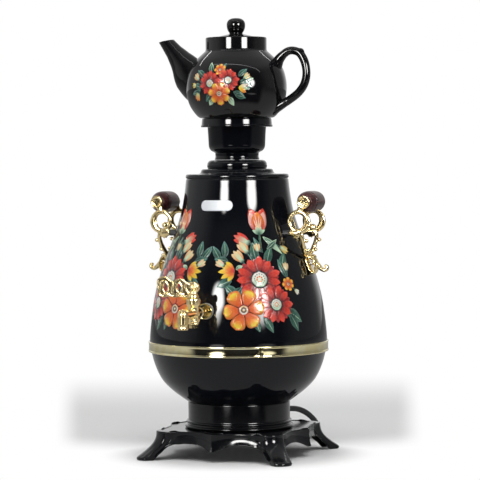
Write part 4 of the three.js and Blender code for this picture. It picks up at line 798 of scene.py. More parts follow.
def skirt_columns():
    """Each column of the stand's skin: the top edge's place and outward way, and the lower edge's place."""
    columns = []
    for k in range(9):
        turn = KNEE_TURN * k / 8
        top = Vector((KNEE_MIDDLE + KNEE_RADIUS * math.cos(turn), KNEE_RADIUS * math.sin(turn)))
        columns.append((top, Vector((math.cos(turn), math.sin(turn))), k / 8, None, 0))
    edge = list(SKIRT_EDGE)
    for share in (0.62, 0.74, 0.84, 0.92, 0.97, 1):
        place, out = scallop(share)
        along = min(32 * (share - 0.5) / 0.5, 29.2)
        edge.append((*(place + out * 1.8), -5 + 26 * math.sqrt(1 - (along / 40.6) ** 2), share))
    fine = smooth_line([e[:3] for e in edge], 3)
    for i, low in enumerate(fine[1:], 1):
        whole, part = divmod(i, 3)
        share = edge[whole][3] if not part else edge[whole][3] + (edge[whole + 1][3] - edge[whole][3]) * part / 3
        top, out = scallop(share)
        side = 1 - min(max((share - 0.03) / 0.2, 0), 1)
        columns.append((top, out, 1, low, side * side * (3 - 2 * side)))
    return columns


def stand_skin():
    """One eighth of the stand's outer skin: the flat top, its rounded edge, the skirt and half a leg."""
    columns = skirt_columns()
    top_rows = [0, 0.35, 0.7, 0.9, 0.97]
    rounding = [0, 30, 60, 90]
    heights = [32.2, 31, 28.6, 25.6, 22.4, 19, 15.4, 12, 9, 6.6, 4.8, 3.4, 2.2, 1.1, 0.4, 0]
    edge_radius = 0.9
    rows = len(top_rows) + len(rounding) + len(heights)
    bm = bmesh.new()
    bmesh.ops.create_grid(bm, x_segments=len(columns) - 1, y_segments=rows - 1, size=1)
    for v in bm.verts:
        column = round((v.co.x + 1) / 2 * (len(columns) - 1))
        row = round((v.co.y + 1) / 2 * (rows - 1))
        top, out, front, low, side = columns[column]
        inner = top - out * edge_radius
        if row < len(top_rows):
            centre = top.normalized() * 46
            place = centre.lerp(inner, top_rows[row])
            v.co = (place.x, place.y, STAND_TOP)
        elif row < len(top_rows) + len(rounding):
            angle = math.radians(rounding[row - len(top_rows)])
            place = inner + out * edge_radius * math.sin(angle)
            v.co = (place.x, place.y, STAND_TOP - edge_radius * (1 - math.cos(angle)))
        else:
            level = heights[row - len(top_rows) - len(rounding)]
            down = 1 - level / STAND_TOP
            reach, half = at_height(LEG_LINE, level), at_height(LEG_HALF_WIDTH, level)
            if low is None:
                turn = KNEE_TURN * front
                bulge = (math.cos(turn) - math.cos(KNEE_TURN)) / (1 - math.cos(KNEE_TURN))
                v.co = (reach - 5.1 + 5.1 * bulge, half * math.sin(turn) / math.sin(KNEE_TURN), level)
            else:
                straight = Vector((*top, STAND_TOP)).lerp(low, down)
                corner = Vector((reach - 5.1, half, level))
                corner -= Vector((*KNEE_CORNER, STAND_TOP)).lerp(Vector((125.3, 10.4, 0)), down)
                cove = -1.1 * math.sin(math.pi * down) * (1 - side)
                v.co = straight + corner * side + Vector((out.x * cove, out.y * cove, 0))
    return bm


def stand_solid():
    """The whole casting's skin: an eighth, mirrored across its leg and turned to all four legs."""
    bm = stand_skin()
    bmesh.ops.mirror(bm, geom=whole(bm), matrix=Matrix.Identity(4), merge_dist=0.001, axis="Y")
    bmesh.ops.rotate(bm, verts=bm.verts, matrix=Matrix.Rotation(math.radians(45), 3, "Z"))
    quarter = whole(bm)
    for k in (1, 2, 3):
        made = bmesh.ops.duplicate(bm, geom=quarter)
        bmesh.ops.rotate(bm, verts=only(BMVert, made), matrix=Matrix.Rotation(math.radians(90 * k), 3, "Z"))
    bmesh.ops.remove_doubles(bm, verts=bm.verts, dist=0.02)
    return bm


stand = piece("footed_stand", stand_solid(), "samovar", casting_enamel, ["base_stand"], 180)
modified(stand, "SOLIDIFY", thickness=0.0028, offset=-1)
modified(stand, "SUBSURF", levels=1, render_levels=1)


# ------------------------------------------------------------------ handles

GRIP_OUT, GRIP_HEIGHT = 93.9, 304
ARM_ACROSS = 26.4


def handle_casting():
    """The right-hand handle's openwork casting: foot, curled tail, and two arms with rings and bosses."""
    bm = bmesh.new()
    foot = [(100, 0, 228), (98.4, 0, 234.4), (93.8, 0, 238.4), (88.8, 0, 237.2), (90.8, 0, 229.4), (93.6, 0, 222.4),
        (96.8, 0, 220), (99.4, 0, 222.6)]
    swept(foot, [2, 2.6, 3, 2.4, 1.7, 1.9, 2, 2], [7, 7.6, 8, 8, 8, 7.4, 6.8, 6.6], 16, 6, True, bm)
    swept([(97.6, 0, 232.4), (102.2, 0, 228.4), (106.2, 0, 224.6), (110.2, 0, 222.8), (113.5, 0, 224.6),
        (113.4, 0, 227.8), (110.6, 0, 228.2)], [3.8, 3.2, 2.6, 2.3, 2.1, 1.9, 1.6],
        [5.6, 4.6, 3.8, 3.2, 2.8, 2.4, 2.2], 16, 6, bm=bm)
    ball((96.2, 0, 239), 3.4, (1.1, 1.5, 0.8), bm=bm)
    ball((90, 0, 241.6), 3.2, (1, 1.7, 0.9), bm=bm)
    for s in (-1, 1):
        y = ARM_ACROSS * s
        turned([(0, -2.4), (7.0, -2.4), (7.6, -1.7), (7.6, 1.9), (7.2, 2.5), (6.2, 2.5), (5.4, 1.9), (4.8, 1.1),
            (0, 1.1)], 40, bm=bm, axis=(0, s, 0), centre=(GRIP_OUT, y, GRIP_HEIGHT))
        swept([(87.2, y, 291), (88.8, y, 294.6), (91, y, 298.6)], [4.2, 3.2, 4.0], [2.5, 2.4, 2.4], 16, 5, bm=bm)
        ring = [(87.3 + 11.2 * cosd(a), y, 281 + 11.6 * sind(a)) for a in range(0, 360, 30)]
        swept(ring, [4.3, 3.6, 3.0, 2.9, 2.7, 2.6, 2.6, 2.6, 3.0, 3.2, 3.6, 4.3], [2.5] * 12, 16, 5, True, bm)
        if s < 0:
            swept([(98.6, y, 279), (101.8, y, 275.8), (104.6, y, 274.6)], [3.4, 2.4, 2.6], [2.4, 2.2, 2.4], 12, 4,
                bm=bm)
            ball((105.6, y, 274.4), 4.2, bm=bm)
        ball((86, y, 267), 4.4, (1, 0.75, 1), bm=bm)
        for angle, size in ((-176, 1.0), (-152, 1.1), (-128, 1.1), (-104, 1.0), (-80, 0.8)):
            way = Vector((cosd(angle), 0, sind(angle)))
            turn = way.to_track_quat("Z", "Y").to_matrix().to_4x4()
            ball(Vector((86, y, 267.4)) + way * 3.4 * size, 2.3, (0.72, 0.9, 1.7 * size), bm, turn)
        bar((76.8, y, 267.5), (86, y, 267.5), 3.5, bm=bm)
        stem = [(88.6, y, 269.4), (91.4, s * 25.4, 262.6), (91, s * 21.6, 254.6), (89.9, s * 16, 247.6),
            (89.2, s * 9, 241.8), (89.6, s * 3.4, 238.6)]
        swept(stem, [3.2, 2.5, 2.6, 2.6, 2.7, 3.0], [2.8, 2.5, 2.6, 2.6, 2.7, 3.0], 16, 5, bm=bm)
        ball((90.8, s * 18.6, 250.6), 3.2, (1, 1, 0.8), bm=bm)
        ball((95.8, s * 23, 258.2), 2.5, bm=bm)
        bar((91.2, s * 22.4, 257.4), (95.4, s * 23, 258.2), 1.7, bm=bm)
        ball((94.6, s * 12.6, 246.8), 2.3, bm=bm)
        bar((90, s * 13, 245.8), (94.4, s * 12.6, 246.8), 1.6, bm=bm)
    return bm


def handle_grip():
    """The turned grip, with a groove near each end."""
    half = profile([(12.8, 0), (12.78, 5), (12.65, 10), (12.5, 12.2)], 3)
    half += [(12.2, 12.5), (11.75, 12.8), (11.7, 13.3), (11.75, 13.7), (12.1, 14)]
    half += profile([(12.3, 14.4), (11.7, 17), (10.6, 19.6), (9.4, 21.8), (8.8, 22.8)], 3)
    half += [(8.2, 23.5), (7.6, 23.6), (3.3, 23.6)]
    outline = [(r, -d) for r, d in half[::-1]][:-1] + half
    return turned(outline, 72, closed=True, axis=(0, 1, 0), centre=(GRIP_OUT, 0, GRIP_HEIGHT))


for side, turn in (("right", 0), ("left", math.pi)):
    casting = piece(f"{side}_handle_openwork", handle_casting(), "samovar", gold, [f"{side}_handle_casting"], 180,
        turn, False)
    cast(casting, 0.62, 4)
    piece(f"{side}_turned_grip", handle_grip(), "samovar", mahogany, [f"{side}_grip"], 50, turn)


# ------------------------------------------------------------------ tap

# How high the tap's pipe lies, and where the key's and the nose's upright axes stand in front
TAP_HEIGHT = 179
TAP_LINE = -140
NOSE_LINE = -172


def tap_casting():
    """The tap's body: flange, ringed pipe, plug housing with its cup, and the fluted nose with an open mouth."""
    bm = turned([(0, 104.6), (8.4, 104.6), (9, 105.1), (9.1, 106.4), (8.7, 107), (8.2, 106.9), (7.9, 106.3),
        (5.9, 106.2), (5.3, 107), (5.2, 121), (6.2, 122), (6.2, 124), (5.2, 125), (5.0, 172), (0, 172)], 48,
        axis=(0, -1, 0), centre=(0, 0, TAP_HEIGHT))
    turned([(0, 166.2), (5.4, 166.2), (6.2, 166.6), (6.4, 167.8), (5.9, 168.8), (6.1, 170), (6.2, 172), (6.2, 182),
        (6.6, 186), (7.9, 188.4), (8.4, 190), (8.4, 194.6), (7.9, 196.4), (6.6, 196.6), (6.2, 196.2), (0, 196.2)],
        48, bm=bm, centre=(0, TAP_LINE, 0))
    turned([(0, 174), (4, 173.4), (4.2, 172), (4.2, 162.2), (6.0, 162), (6.4, 162.5), (6.4, 164.4), (5.9, 165.2),
        (5.9, 166.6), (6.4, 167.8), (6.4, 176.6), (6.1, 180.4), (5.0, 183.6), (3, 185.4), (0, 186)], 48, bm=bm,
        centre=(0, NOSE_LINE, 0))
    for height in (170.6, 177.4):
        swept([(6.9 * cosd(a), TAP_LINE + 6.4 * sind(a), height + 1.6 * sind(3 * a)) for a in range(0, 360, 20)],
            [0.7] * 3, [0.7] * 3, 8, 3, True, bm)
    bar((0, -89.8, TAP_HEIGHT), (0, -104.6, TAP_HEIGHT), 5.6, bm=bm)
    return bm


cast(piece("tap_casting", tap_casting(), "samovar", gold, ["tap_body"], 180, clean=False), 0.45, 2)
outline = eased([(5.4, 107.1), (5.4, 107.5), (8.1, 107.5), (8.5, 107.9), (9, 107.9), (9.2, 107.5), (9.2, 106.7)],
    0.15, 2)
piece("tap_flange_face", turned(outline + [(5.4, 106.7)], 96, True, axis=(0, -1, 0), centre=(0, 0, TAP_HEIGHT)),
    "samovar", band_gold, sharp=60)

LEVER_LENGTH, LEVER_TALL, LEVER_FOOT = 46, 22, 197
# The lever's outline, as shares of its length from the key's axis and of its height
LEVER_SHARES = [(-0.12, 0.02), (-0.1, 0.2), (-0.06, 0.34), (-0.12, 0.46), (-0.135, 0.6), (-0.09, 0.73),
    (0.02, 0.79), (0.13, 0.78), (0.2, 0.84), (0.28, 0.95), (0.37, 0.98), (0.45, 0.91), (0.53, 0.82), (0.61, 0.87),
    (0.68, 0.99), (0.78, 1.08), (0.89, 1.04), (0.97, 0.94), (0.98, 0.7), (0.96, 0.36), (0.92, 0.1), (0.8, 0.02),
    (0.66, 0.08), (0.52, 0.02), (0.37, 0.07), (0.22, 0.03), (0.1, 0.02)]


def lever_place(share_out, share_up):
    """A place across and up in the lever's own plane."""
    return -share_out * LEVER_LENGTH, LEVER_FOOT + share_up * LEVER_TALL


def teardrop(middle, half):
    """A teardrop hole's outline, pointed at the top."""
    loop = []
    for k in range(24):
        angle = FULL_TURN * k / 24
        pinch = 1 - 0.55 * max(math.sin(angle), 0) ** 1.5
        loop.append((middle[0] + half[0] * math.cos(angle) * pinch, middle[1] + half[1] * math.sin(angle)))
    return loop


def tap_lever():
    """The turning key: plug, bell, and the pierced lever with its raised rims, scrolls and curl."""
    corners = [(x, 0, z) for x, z in (lever_place(*s) for s in LEVER_SHARES)]
    outline = [(p.x, p.z) for p in smooth_line(corners, 3, True)]
    holes = [teardrop((-17.5, 208.7), (3.5, 5.4)), teardrop((-34.3, 208.9), (3.5, 6.2))]
    bm = plate(outline, 2.2, holes)
    bmesh.ops.recalc_face_normals(bm, faces=bm.faces)
    middle = (-22, 208)
    inset = [(x + (middle[0] - x) * 0.035, 0, z + (middle[1] - z) * 0.05) for x, z in outline[::3]]
    swept(inset, [1.1] * 3, [1.5] * 3, 10, 3, True, bm)
    for hole in holes:
        swept([(x, 0, z) for x, z in hole[::2]], [0.9] * 3, [1.5] * 3, 8, 2, True, bm)
    for line in ([(-4, 0, 200.6), (-8, 0, 205), (-10, 0, 210), (-7.6, 0, 213.4), (-4.6, 0, 211.4), (-6, 0, 208.6)],
            [(-25.8, 0, 200.4), (-26.4, 0, 206), (-25, 0, 211), (-26, 0, 216)],
            [(-41.6, 0, 201), (-42, 0, 208), (-40.4, 0, 214.4), (-37, 0, 217)],
            [(-12, 0, 200.4), (-17, 0, 201.4), (-22, 0, 200.2)], [(-29, 0, 200.4), (-34, 0, 200.9),
            (-39, 0, 200.4)]):
        swept(line, [0.9, 1.1, 0.8], [1.5, 1.7, 1.4], 8, 4, bm=bm)
    curl = [(-2.8, 0, 203.6), (2.2, 0, 203.4), (5.4, 0, 206.8), (5.2, 0, 211.4), (1.6, 0, 213.9), (-2, 0, 212.4),
        (-2, 0, 209), (0.8, 0, 207.9)]
    swept(curl, [2.0, 2.0, 1.9, 1.8, 1.6, 1.3], [3.4, 3.4, 3.2, 3.0, 2.6, 2.2], 14, 5, bm=bm)
    ball((0.8, 0, 209), 2.2, (1, 1.3, 1), bm=bm)
    turned([(0, 197.2), (6.1, 197.2), (6.6, 198), (6.2, 199.8), (4.9, 202), (4.2, 204.4), (2, 205.4), (0, 205.6)],
        40, bm=bm)
    bar((0, 0, 162), (0, 0, 198), 2.8, bm=bm)
    bar((0, 0, 166.2), (0, 0, 198), 3.9, bm=bm)
    bmesh.ops.translate(bm, verts=bm.verts, vec=(0, TAP_LINE, 0))
    return bm


cast(piece("tap_lever", tap_lever(), "tap_key", gold, ["tap_key"], 180, clean=False), 0.4, 2)


# ------------------------------------------------------------------ flower transfers

RED, DARK_RED, SCARLET = (0.56, 0.016, 0.020), (0.17, 0.004, 0.008), (0.72, 0.05, 0.025)
ORANGE, BURNT_ORANGE, YELLOW = (0.80, 0.22, 0.025), (0.62, 0.075, 0.015), (0.80, 0.60, 0.035)
CREAM, PINK, WHITE = (0.80, 0.58, 0.30), (0.80, 0.42, 0.36), (0.82, 0.78, 0.70)
PALE_GREEN, GREEN, DARK_GREEN = (0.50, 0.70, 0.48), (0.030, 0.125, 0.085), (0.007, 0.036, 0.030)
TEAL, BROWN, NIGHT = (0.075, 0.21, 0.19), (0.16, 0.10, 0.06), (0.012, 0.012, 0.016)


LAYER = 0.07


class Spray:
    """Flower transfers on a turned body: each petal is a thin skin on its surface, over the one below."""

    def __init__(self, outline):
        self.outline = outline
        self.bm = bmesh.new()
        self.inner = self.bm.verts.layers.float_color.new("inner")
        self.outer = self.bm.verts.layers.float_color.new("outer")
        self.petal_map = self.bm.loops.layers.uv.new("petal")

    def on_body(self, turn, height, across, up, lift):
        """A point on the body's surface, across and up from a place given as a turn in degrees and a height."""
        lean = (at_height(self.outline, height + 1) - at_height(self.outline, height - 1)) / 2
        z = height + up / math.sqrt(1 + lean * lean)
        lean = (at_height(self.outline, z + 1) - at_height(self.outline, z - 1)) / 2
        radius = at_height(self.outline, z)
        angle = math.radians(turn) + across / radius
        share = lift / math.sqrt(1 + lean * lean)
        radius += share
        return Vector((radius * math.sin(angle), -radius * math.cos(angle), z - share * lean))

    def petal(self, at, way, start, length, width, inner, outer, layer, widest=1.0, blunt=0.7, bend=0.0, notch=0.0,
            fine=(6, 8)):
        """One petal or leaf: way is clockwise from straight up, in degrees; bend carries its tip to the right."""
        made = bmesh.ops.create_grid(self.bm, x_segments=fine[0], y_segments=fine[1], size=1)["verts"]
        places = {}
        for v in made:
            side, along = v.co.x, (v.co.y + 1) / 2
            places[v] = (0.5 + side / 2, along)
            full = max(math.sin(math.pi * (0.03 + 0.97 * along) ** widest), 0) ** blunt
            reach = start + length * along * (1 - notch * (1 - abs(side)) * along ** 3)
            across = side * width / 2 * full + bend * along * along
            v.co = self.on_body(*at, across * cosd(way) + reach * sind(way), reach * cosd(way) - across * sind(way),
                LAYER * (1 + layer))
            v[self.inner] = (*inner, 1)
            v[self.outer] = (*outer, 1)
        for face in {f for v in made for f in v.link_faces}:
            for loop in face.loops:
                loop[self.petal_map].uv = places[loop.vert]

    def disc(self, at, radius, inner, outer, layer, offset=(0, 0)):
        """A round patch, such as a flower's centre or a dot on it."""
        way = math.degrees(math.atan2(offset[0], offset[1])) if any(offset) else 0
        away = math.hypot(*offset)
        self.petal(at, way, away - radius, radius * 2, radius * 2, inner, outer, layer, 1.0, 0.5)

    def daisy(self, at, radius, petals, eye, layer, turn):
        """A daisy with separate petals over darker ones, and a dotted pale-green eye in a dark ring."""
        for k in range(petals):
            way = turn + 360 * (k + 0.5) / petals
            self.petal(at, way, eye * 0.6, radius * (0.93 + 0.04 * math.sin(5 * k)) - eye * 0.6,
                radius * 3.4 / petals, NIGHT, (0.34, 0.008, 0.013), layer + 0.3 * (k % 2), 1.5, 0.8)
        for k in range(petals):
            way = turn + 360 * k / petals + 3 * math.sin(4 * k)
            long = radius * (0.99 + 0.05 * math.sin(3 * k + 1)) - eye * 0.6
            rise = layer + 0.9 + 0.3 * (k % 2)
            self.petal(at, way, eye * 0.6, long, radius * 3.7 / petals, DARK_RED, SCARLET, rise, 1.6, 0.72)
            for lean in (-6, 6):
                self.petal(at, way + lean, eye, long * 0.5, radius * 0.26 / petals, DARK_RED, RED, layer + 1.5, 1.2,
                    0.6, fine=(2, 6))
        self.disc(at, eye * 1.2, NIGHT, NIGHT, layer + 1.8)
        self.disc(at, eye, PALE_GREEN, WHITE, layer + 2.1)
        for dots, size, inner, outer in ((13, 0.72, GREEN, WHITE), (7, 0.34, ORANGE, BURNT_ORANGE)):
            for k in range(dots):
                angle = FULL_TURN * k / dots
                place = (eye * size * math.sin(angle), eye * size * math.cos(angle))
                self.disc(at, eye * 0.12, inner, outer, layer + 2.4, place)

    def blossom(self, at, radius, layer, turn=0, petals=7, colours=(BURNT_ORANGE, ORANGE), tips=YELLOW):
        """A broad-petalled blossom whose petals run to yellow, with a white-ringed eye."""
        for k in range(petals):
            way = turn + 360 * k / petals
            rise = layer + 0.35 * (k % 2) + 0.2 * (k == petals - 1)
            self.petal(at, way, radius * 0.1, radius * (0.9 + 0.04 * math.sin(3 * k)), radius * 4.3 / petals,
                colours[0], colours[1], rise, 2.0, 0.5, notch=0.07)
            self.petal(at, way, radius * 0.55, radius * 0.38, radius * 2.9 / petals, colours[1], tips, rise + 0.15,
                1.4, 0.6, notch=0.1)
        for size, inner, outer, rise in ((0.27, BURNT_ORANGE, DARK_RED, 1.0), (0.21, WHITE, CREAM, 1.2),
                (0.14, BROWN, BROWN, 1.4), (0.06, CREAM, WHITE, 1.6)):
            self.disc(at, radius * size, inner, outer, layer + rise)

    def bud(self, at, way, length, layer, outer=ORANGE, middle=CREAM):
        """A half-open bud on a short stalk."""
        self.petal(at, way + 176, 0, length * 0.7, length * 0.09, GREEN, TEAL, layer, 0.8, 0.5, bend=length * 0.1,
            fine=(2, 6))
        for lean, rise in ((-13, 0.1), (13, 0.3)):
            self.petal(at, way + lean, 0, length * 0.92, length * 0.42, outer, middle, layer + rise, 0.95, 0.7,
                bend=math.copysign(1, lean))
        self.petal(at, way, 0, length, length * 0.36, PALE_GREEN, middle, layer + 0.5, 1.0, 0.7)
        self.petal(at, way, -length * 0.08, length * 0.32, length * 0.34, DARK_GREEN, PALE_GREEN, layer + 0.7, 0.8,
            0.7)

    def leaf(self, at, way, length, width, layer, bend, edge=TEAL, colours=(DARK_GREEN, GREEN)):
        """A pointed leaf with a lighter edge and a fine midrib."""
        self.petal(at, way, 0, length, width, colours[1], edge, layer, 0.9, 0.95, bend)
        self.petal(at, way, length * 0.04, length * 0.88, width * 0.74, colours[0], colours[1], layer + 0.15, 0.9,
            0.95, bend * 0.8)
        self.petal(at, way, 0, length * 0.9, width * 0.07, edge, PALE_GREEN, layer + 0.3, 0.8, 0.6, bend * 0.82,
            fine=(2, 8))

    def finished(self, name, body, surface_slot, mirrored=False):
        if mirrored:
            bmesh.ops.transform(self.bm, matrix=Matrix.Diagonal((-1, 1, 1, 1)), verts=self.bm.verts)
            bmesh.ops.reverse_faces(self.bm, faces=self.bm.faces)
        obj = piece(name, self.bm, body, flower_print, sharp=180, clean=False)
        modified(obj, "SOLIDIFY", thickness=0.00004, offset=-1)


def lay(draw, *rows):
    """Draws one kind of flower several times: each row starts with its turn in degrees and its height."""
    for turn, height, *rest in rows:
        draw((turn, height), *rest)


YOUNG = (GREEN, PALE_GREEN)


def body_bouquet():
    """The bouquet on one side of the tap: two daisies, a blossom, buds and leaves, with a tulip above."""
    spray = Spray(SHELL_OUTER)
    lay(spray.leaf, (8, 238, -38, 20, 9, 0, 2), (11, 240, 4, 21, 9, 0.4, -3), (14, 236, -72, 17, 9, 0.2, -2),
        (36, 236, -14, 24, 11, 0, 3, GREEN), (44, 232, 14, 24, 11, 0.2, 3, GREEN),
        (56, 222, 10, 27, 12, 0, 4, GREEN), (59, 216, -12, 24, 10, 0.3, -3), (21, 196, -52, 20, 12, 0, 2),
        (17, 214, -104, 19, 11, 0.2, -3), (24, 206, -140, 17, 10, 0.4, 2), (54, 178, 108, 27, 14, 0, 6, GREEN),
        (57, 175, 142, 24, 11, 0.3, 4, GREEN), (38, 172, 138, 22, 10, 0, 4, GREEN),
        (33, 168, 172, 14, 8, 0.2, -2, GREEN))
    lay(spray.bud, (29, 246, -32, 17, 1), (25, 236, -38, 17, 1.6), (11, 231, -62, 12, 1.2, PINK, CREAM),
        (60, 224, 4, 11, 1.2, ORANGE, CREAM), (38, 247, -6, 11, 1.2, ORANGE, CREAM))
    for way, size in ((-150, 15), (-122, 18), (-96, 19), (-70, 17), (-44, 14)):
        spray.petal((19, 226), way, 0, size * 1.05, 6.2, SCARLET, YELLOW, 1 + way % 3 * 0.2, 1.3, 0.9)
    for way, size in ((-136, 10), (-108, 11), (-82, 10)):
        spray.petal((19, 226), way, 0, size, 4.6, RED, ORANGE, 2.0 + way % 2 * 0.2, 1.1, 0.7)
    lay(spray.leaf, (20, 227, 60, 9, 6, 1.8, 0, PALE_GREEN, YOUNG))
    lay(spray.daisy, (37, 215.5, 27.5, 11, 9.2, 2, 4), (47.5, 186, 22.5, 10, 6.6, 4.6, 16))
    spray.blossom((25, 180.5), 25, 7.6, 22, 6)
    spray.blossom((59, 208.8), 8.6, 4.6, 10)
    spray.bud((64, 202), 128, 8, 4.6, CREAM, WHITE)
    tulip = (41, 268)
    spray.petal((41, 246), 0, 0, 24, 2.6, DARK_GREEN, GREEN, 0.3, 0.8, 0.4, fine=(2, 8))
    lay(spray.leaf, (44, 264, 128, 32, 7.4, 0.2, 3, PALE_GREEN, YOUNG), (42, 246, -34, 21, 7, 0.3, 3),
        (46, 250, 62, 19, 7, 0.5, -3, PALE_GREEN))
    spray.bud((59, 252), 122, 13, 1.4, (0.52, 0.33, 0.05), (0.62, 0.45, 0.12))
    spray.bud((31, 257), -60, 20, 0.9, RED, SCARLET)
    for way in (-9, 9):
        spray.petal(tulip, way, 0, 32, 15, DARK_RED, SCARLET, 1 + (way > 0) * 0.2, 1.1, 0.7, bend=way / 3)
    for way in (-27, 27):
        spray.petal(tulip, way, 0, 28, 11.5, RED, PINK, 1.6, 1.1, 0.75, bend=-way / 6)
    spray.petal(tulip, 0, 0, 27, 16, RED, ORANGE, 2.0, 1.05, 0.7)
    for way, size in ((-15, 17), (-6, 22), (5, 21), (14, 17)):
        spray.petal(tulip, way, 2, size, 1.9, CREAM, PINK, 2.3, 0.8, 0.7, fine=(2, 8))
    for way in (-62, -24, 20, 60):
        spray.petal(tulip, way, -1, 10, 5, GREEN, PALE_GREEN, 2.5, 0.8, 0.8)
    return spray


body_bouquet().finished("bouquet_right", "samovar", "enamel")
body_bouquet().finished("bouquet_left", "samovar", "enamel", mirrored=True)


def pot_bouquet():
    """A smaller bouquet of the same flowers on the teapot's belly."""
    spray = Spray([p for p in POT_OUTER if p[1] < 482])
    lay(spray.leaf, (26, 444, 62, 17, 8, 0, 2, PALE_GREEN), (24, 452, 40, 14, 7, 0.3, 2),
        (-18, 452, -48, 15, 8, 0, -2), (-20, 440, -84, 15, 8, 0.3, 2, GREEN), (18, 434, 108, 16, 8, 0, 3, GREEN),
        (-8, 432, -126, 13, 7, 0, -2, GREEN), (4, 457, 12, 12, 6, 0, 2), (-8, 457, -24, 13, 7, 0.2, 2, PALE_GREEN),
        (-24, 436, -112, 15, 7, 0.1, 2), (12, 428, 140, 12, 7, 0.3, 2, PALE_GREEN, YOUNG),
        (-8, 426, -158, 9, 6, 0.3, 2, PALE_GREEN, YOUNG), (20, 430, 96, 13, 7, 0.4, 2, GREEN))
    lay(spray.bud, (-27, 434, -158, 11, 0.8, YELLOW, ORANGE), (-30, 443, -96, 8, 0.8, CREAM, YELLOW),
        (-26, 449, -52, 11, 1), (30, 450, 54, 9, 1, YELLOW, CREAM))
    spray.blossom((33, 442), 6.4, 1.2, 0, colours=(GREEN, TEAL), tips=WHITE)
    lay(spray.blossom, (2, 460.5, 7.4, 1.2, 8), (1.5, 432.5, 14, 5.4, 20))
    lay(spray.daisy, (-10, 444.8, 14.6, 10, 4.3, 2.4, 0), (12, 448, 13.4, 10, 4.0, 3.6, 12))
    spray.petal((24, 439), 96, 0, 11, 5, YELLOW, PALE_GREEN, 2, 1.2, 0.6)
    spray.petal((24, 439), 124, 0, 10, 5, YELLOW, ORANGE, 2.3, 1.2, 0.6)
    spray.petal((24, 439), 70, 0, 10, 5, YELLOW, WHITE, 2.3, 1.2, 0.6)
    return spray


pot_bouquet().finished("teapot_bouquet", "teapot", "teapot_glaze")


# ------------------------------------------------------------------ finishes of the parts that keep their own shape

OWN_SHAPE = {
    steel: ["bottom_cover", "heating_element", "thermal_cutout"],
    zinc: ["tie_bolt", "tie_nut", "earth_screw", "heater_nut_*", "*_grip_rod", "*_foot_screw", "tap_back_nut",
           "stand_bolt", "stand_nut", "plug_pin_*"],
    seal_rubber: ["seam_gasket", "heater_seal_*", "tap_gasket", "tap_inner_seal"],
    black_plastic: ["terminal_block", "*_spacer_front", "*_spacer_back", "cord_tie"],
    brown_sleeve: ["live_lead", "link_lead"],
    blue_sleeve: ["neutral_lead"],
    earth_sleeve: ["earth_lead"],
    cord_rubber: ["inner_cord_lead"],
    gold: ["tap_key_nut"],
}
for finish, names in OWN_SHAPE.items():
    for name in sorted({name.replace("*", side) for name in names for side in ("left", "right")}):
        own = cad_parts[name].data
        own.materials.clear()
        own.materials.append(finish)


# ------------------------------------------------------------------ floor, studio and lights

def from_camera_turn(degrees):
    """A level direction, turned from the camera's own side of the samovar towards its right."""
    turn = CAMERA_TURN + math.radians(degrees)
    return Vector((math.sin(turn), -math.cos(turn), 0))


def floor_finish():
    """A white floor: the soft grey round and behind the samovar is partly painted. A drawn zone holds back the
    floor's white glow so that its plainly lit grey shows, and the samovar's real cast shadow shows inside that zone
    too; further off it is as white as paper.
    """
    f = Finish("white_floor")
    paper = f.blend(f.noise(f.places(), 0.004, 2), (0.79, 0.79, 0.79), (0.81, 0.81, 0.81))
    from_axis = f.vector("SUBTRACT", f.node("ShaderNodeTexCoord", output=3), tuple(AXIS), 0)
    ways = -from_camera_turn(0), from_camera_turn(90)
    behind, aside = (f.vector("DOT_PRODUCT", from_axis, tuple(way)) for way in ways)
    aside = abs(aside)
    near = f.vector("LENGTH", from_axis)
    # Painted shadow: back, front and side outline a soft grey zone behind the samovar where the floor keeps its lit
    # grey instead of glowing white; near the stand the real contact shadow shows.
    back = 1 - behind.between(0.42, 1.05)
    front = (behind - aside * 0.45).between(-0.06, 0.12)
    side = 1 - (aside - behind * 0.07).between(0.186, 0.226)
    painted_and_cast_shadow_zone = near.maths("MAXIMUM", back * front * side, 1 - near.between(0.105, 0.17))
    seen, mirrored = f.node("ShaderNodeLightPath"), f.node("ShaderNodeLightPath", output=3)
    # Painted shade in reflections: seen in glossy rays the floor is a fifth darker everywhere, and far off on the
    # camera's side nearly black, standing in for an unlit room.
    reflected_floor_painted_dark = mirrored * (near.between(0.4, 0.7) * (-behind / near).between(0.4, 0.6) * 0.8 + 0.2)
    diffuse = f.node("ShaderNodeBsdfDiffuse", None, {"Color": f.blend(reflected_floor_painted_dark, paper, (0.02, 0.02, 0.025))})
    return f.end(f.mix(seen * (1 - painted_and_cast_shadow_zone), diffuse, f.glow(1.0, (1, 1, 1, 1))))


floor = bmesh.new()
bmesh.ops.create_circle(floor, cap_ends=True, segments=96, radius=40)
meshed("floor", floor, floor_finish())


def reflected_only(name, bm, finish, shader):
    """A light that shows in reflections alone."""
    obj = meshed(name, bm, finish.end(shader))
    obj.visible_camera = obj.visible_diffuse = obj.visible_shadow = obj.visible_transmission = False


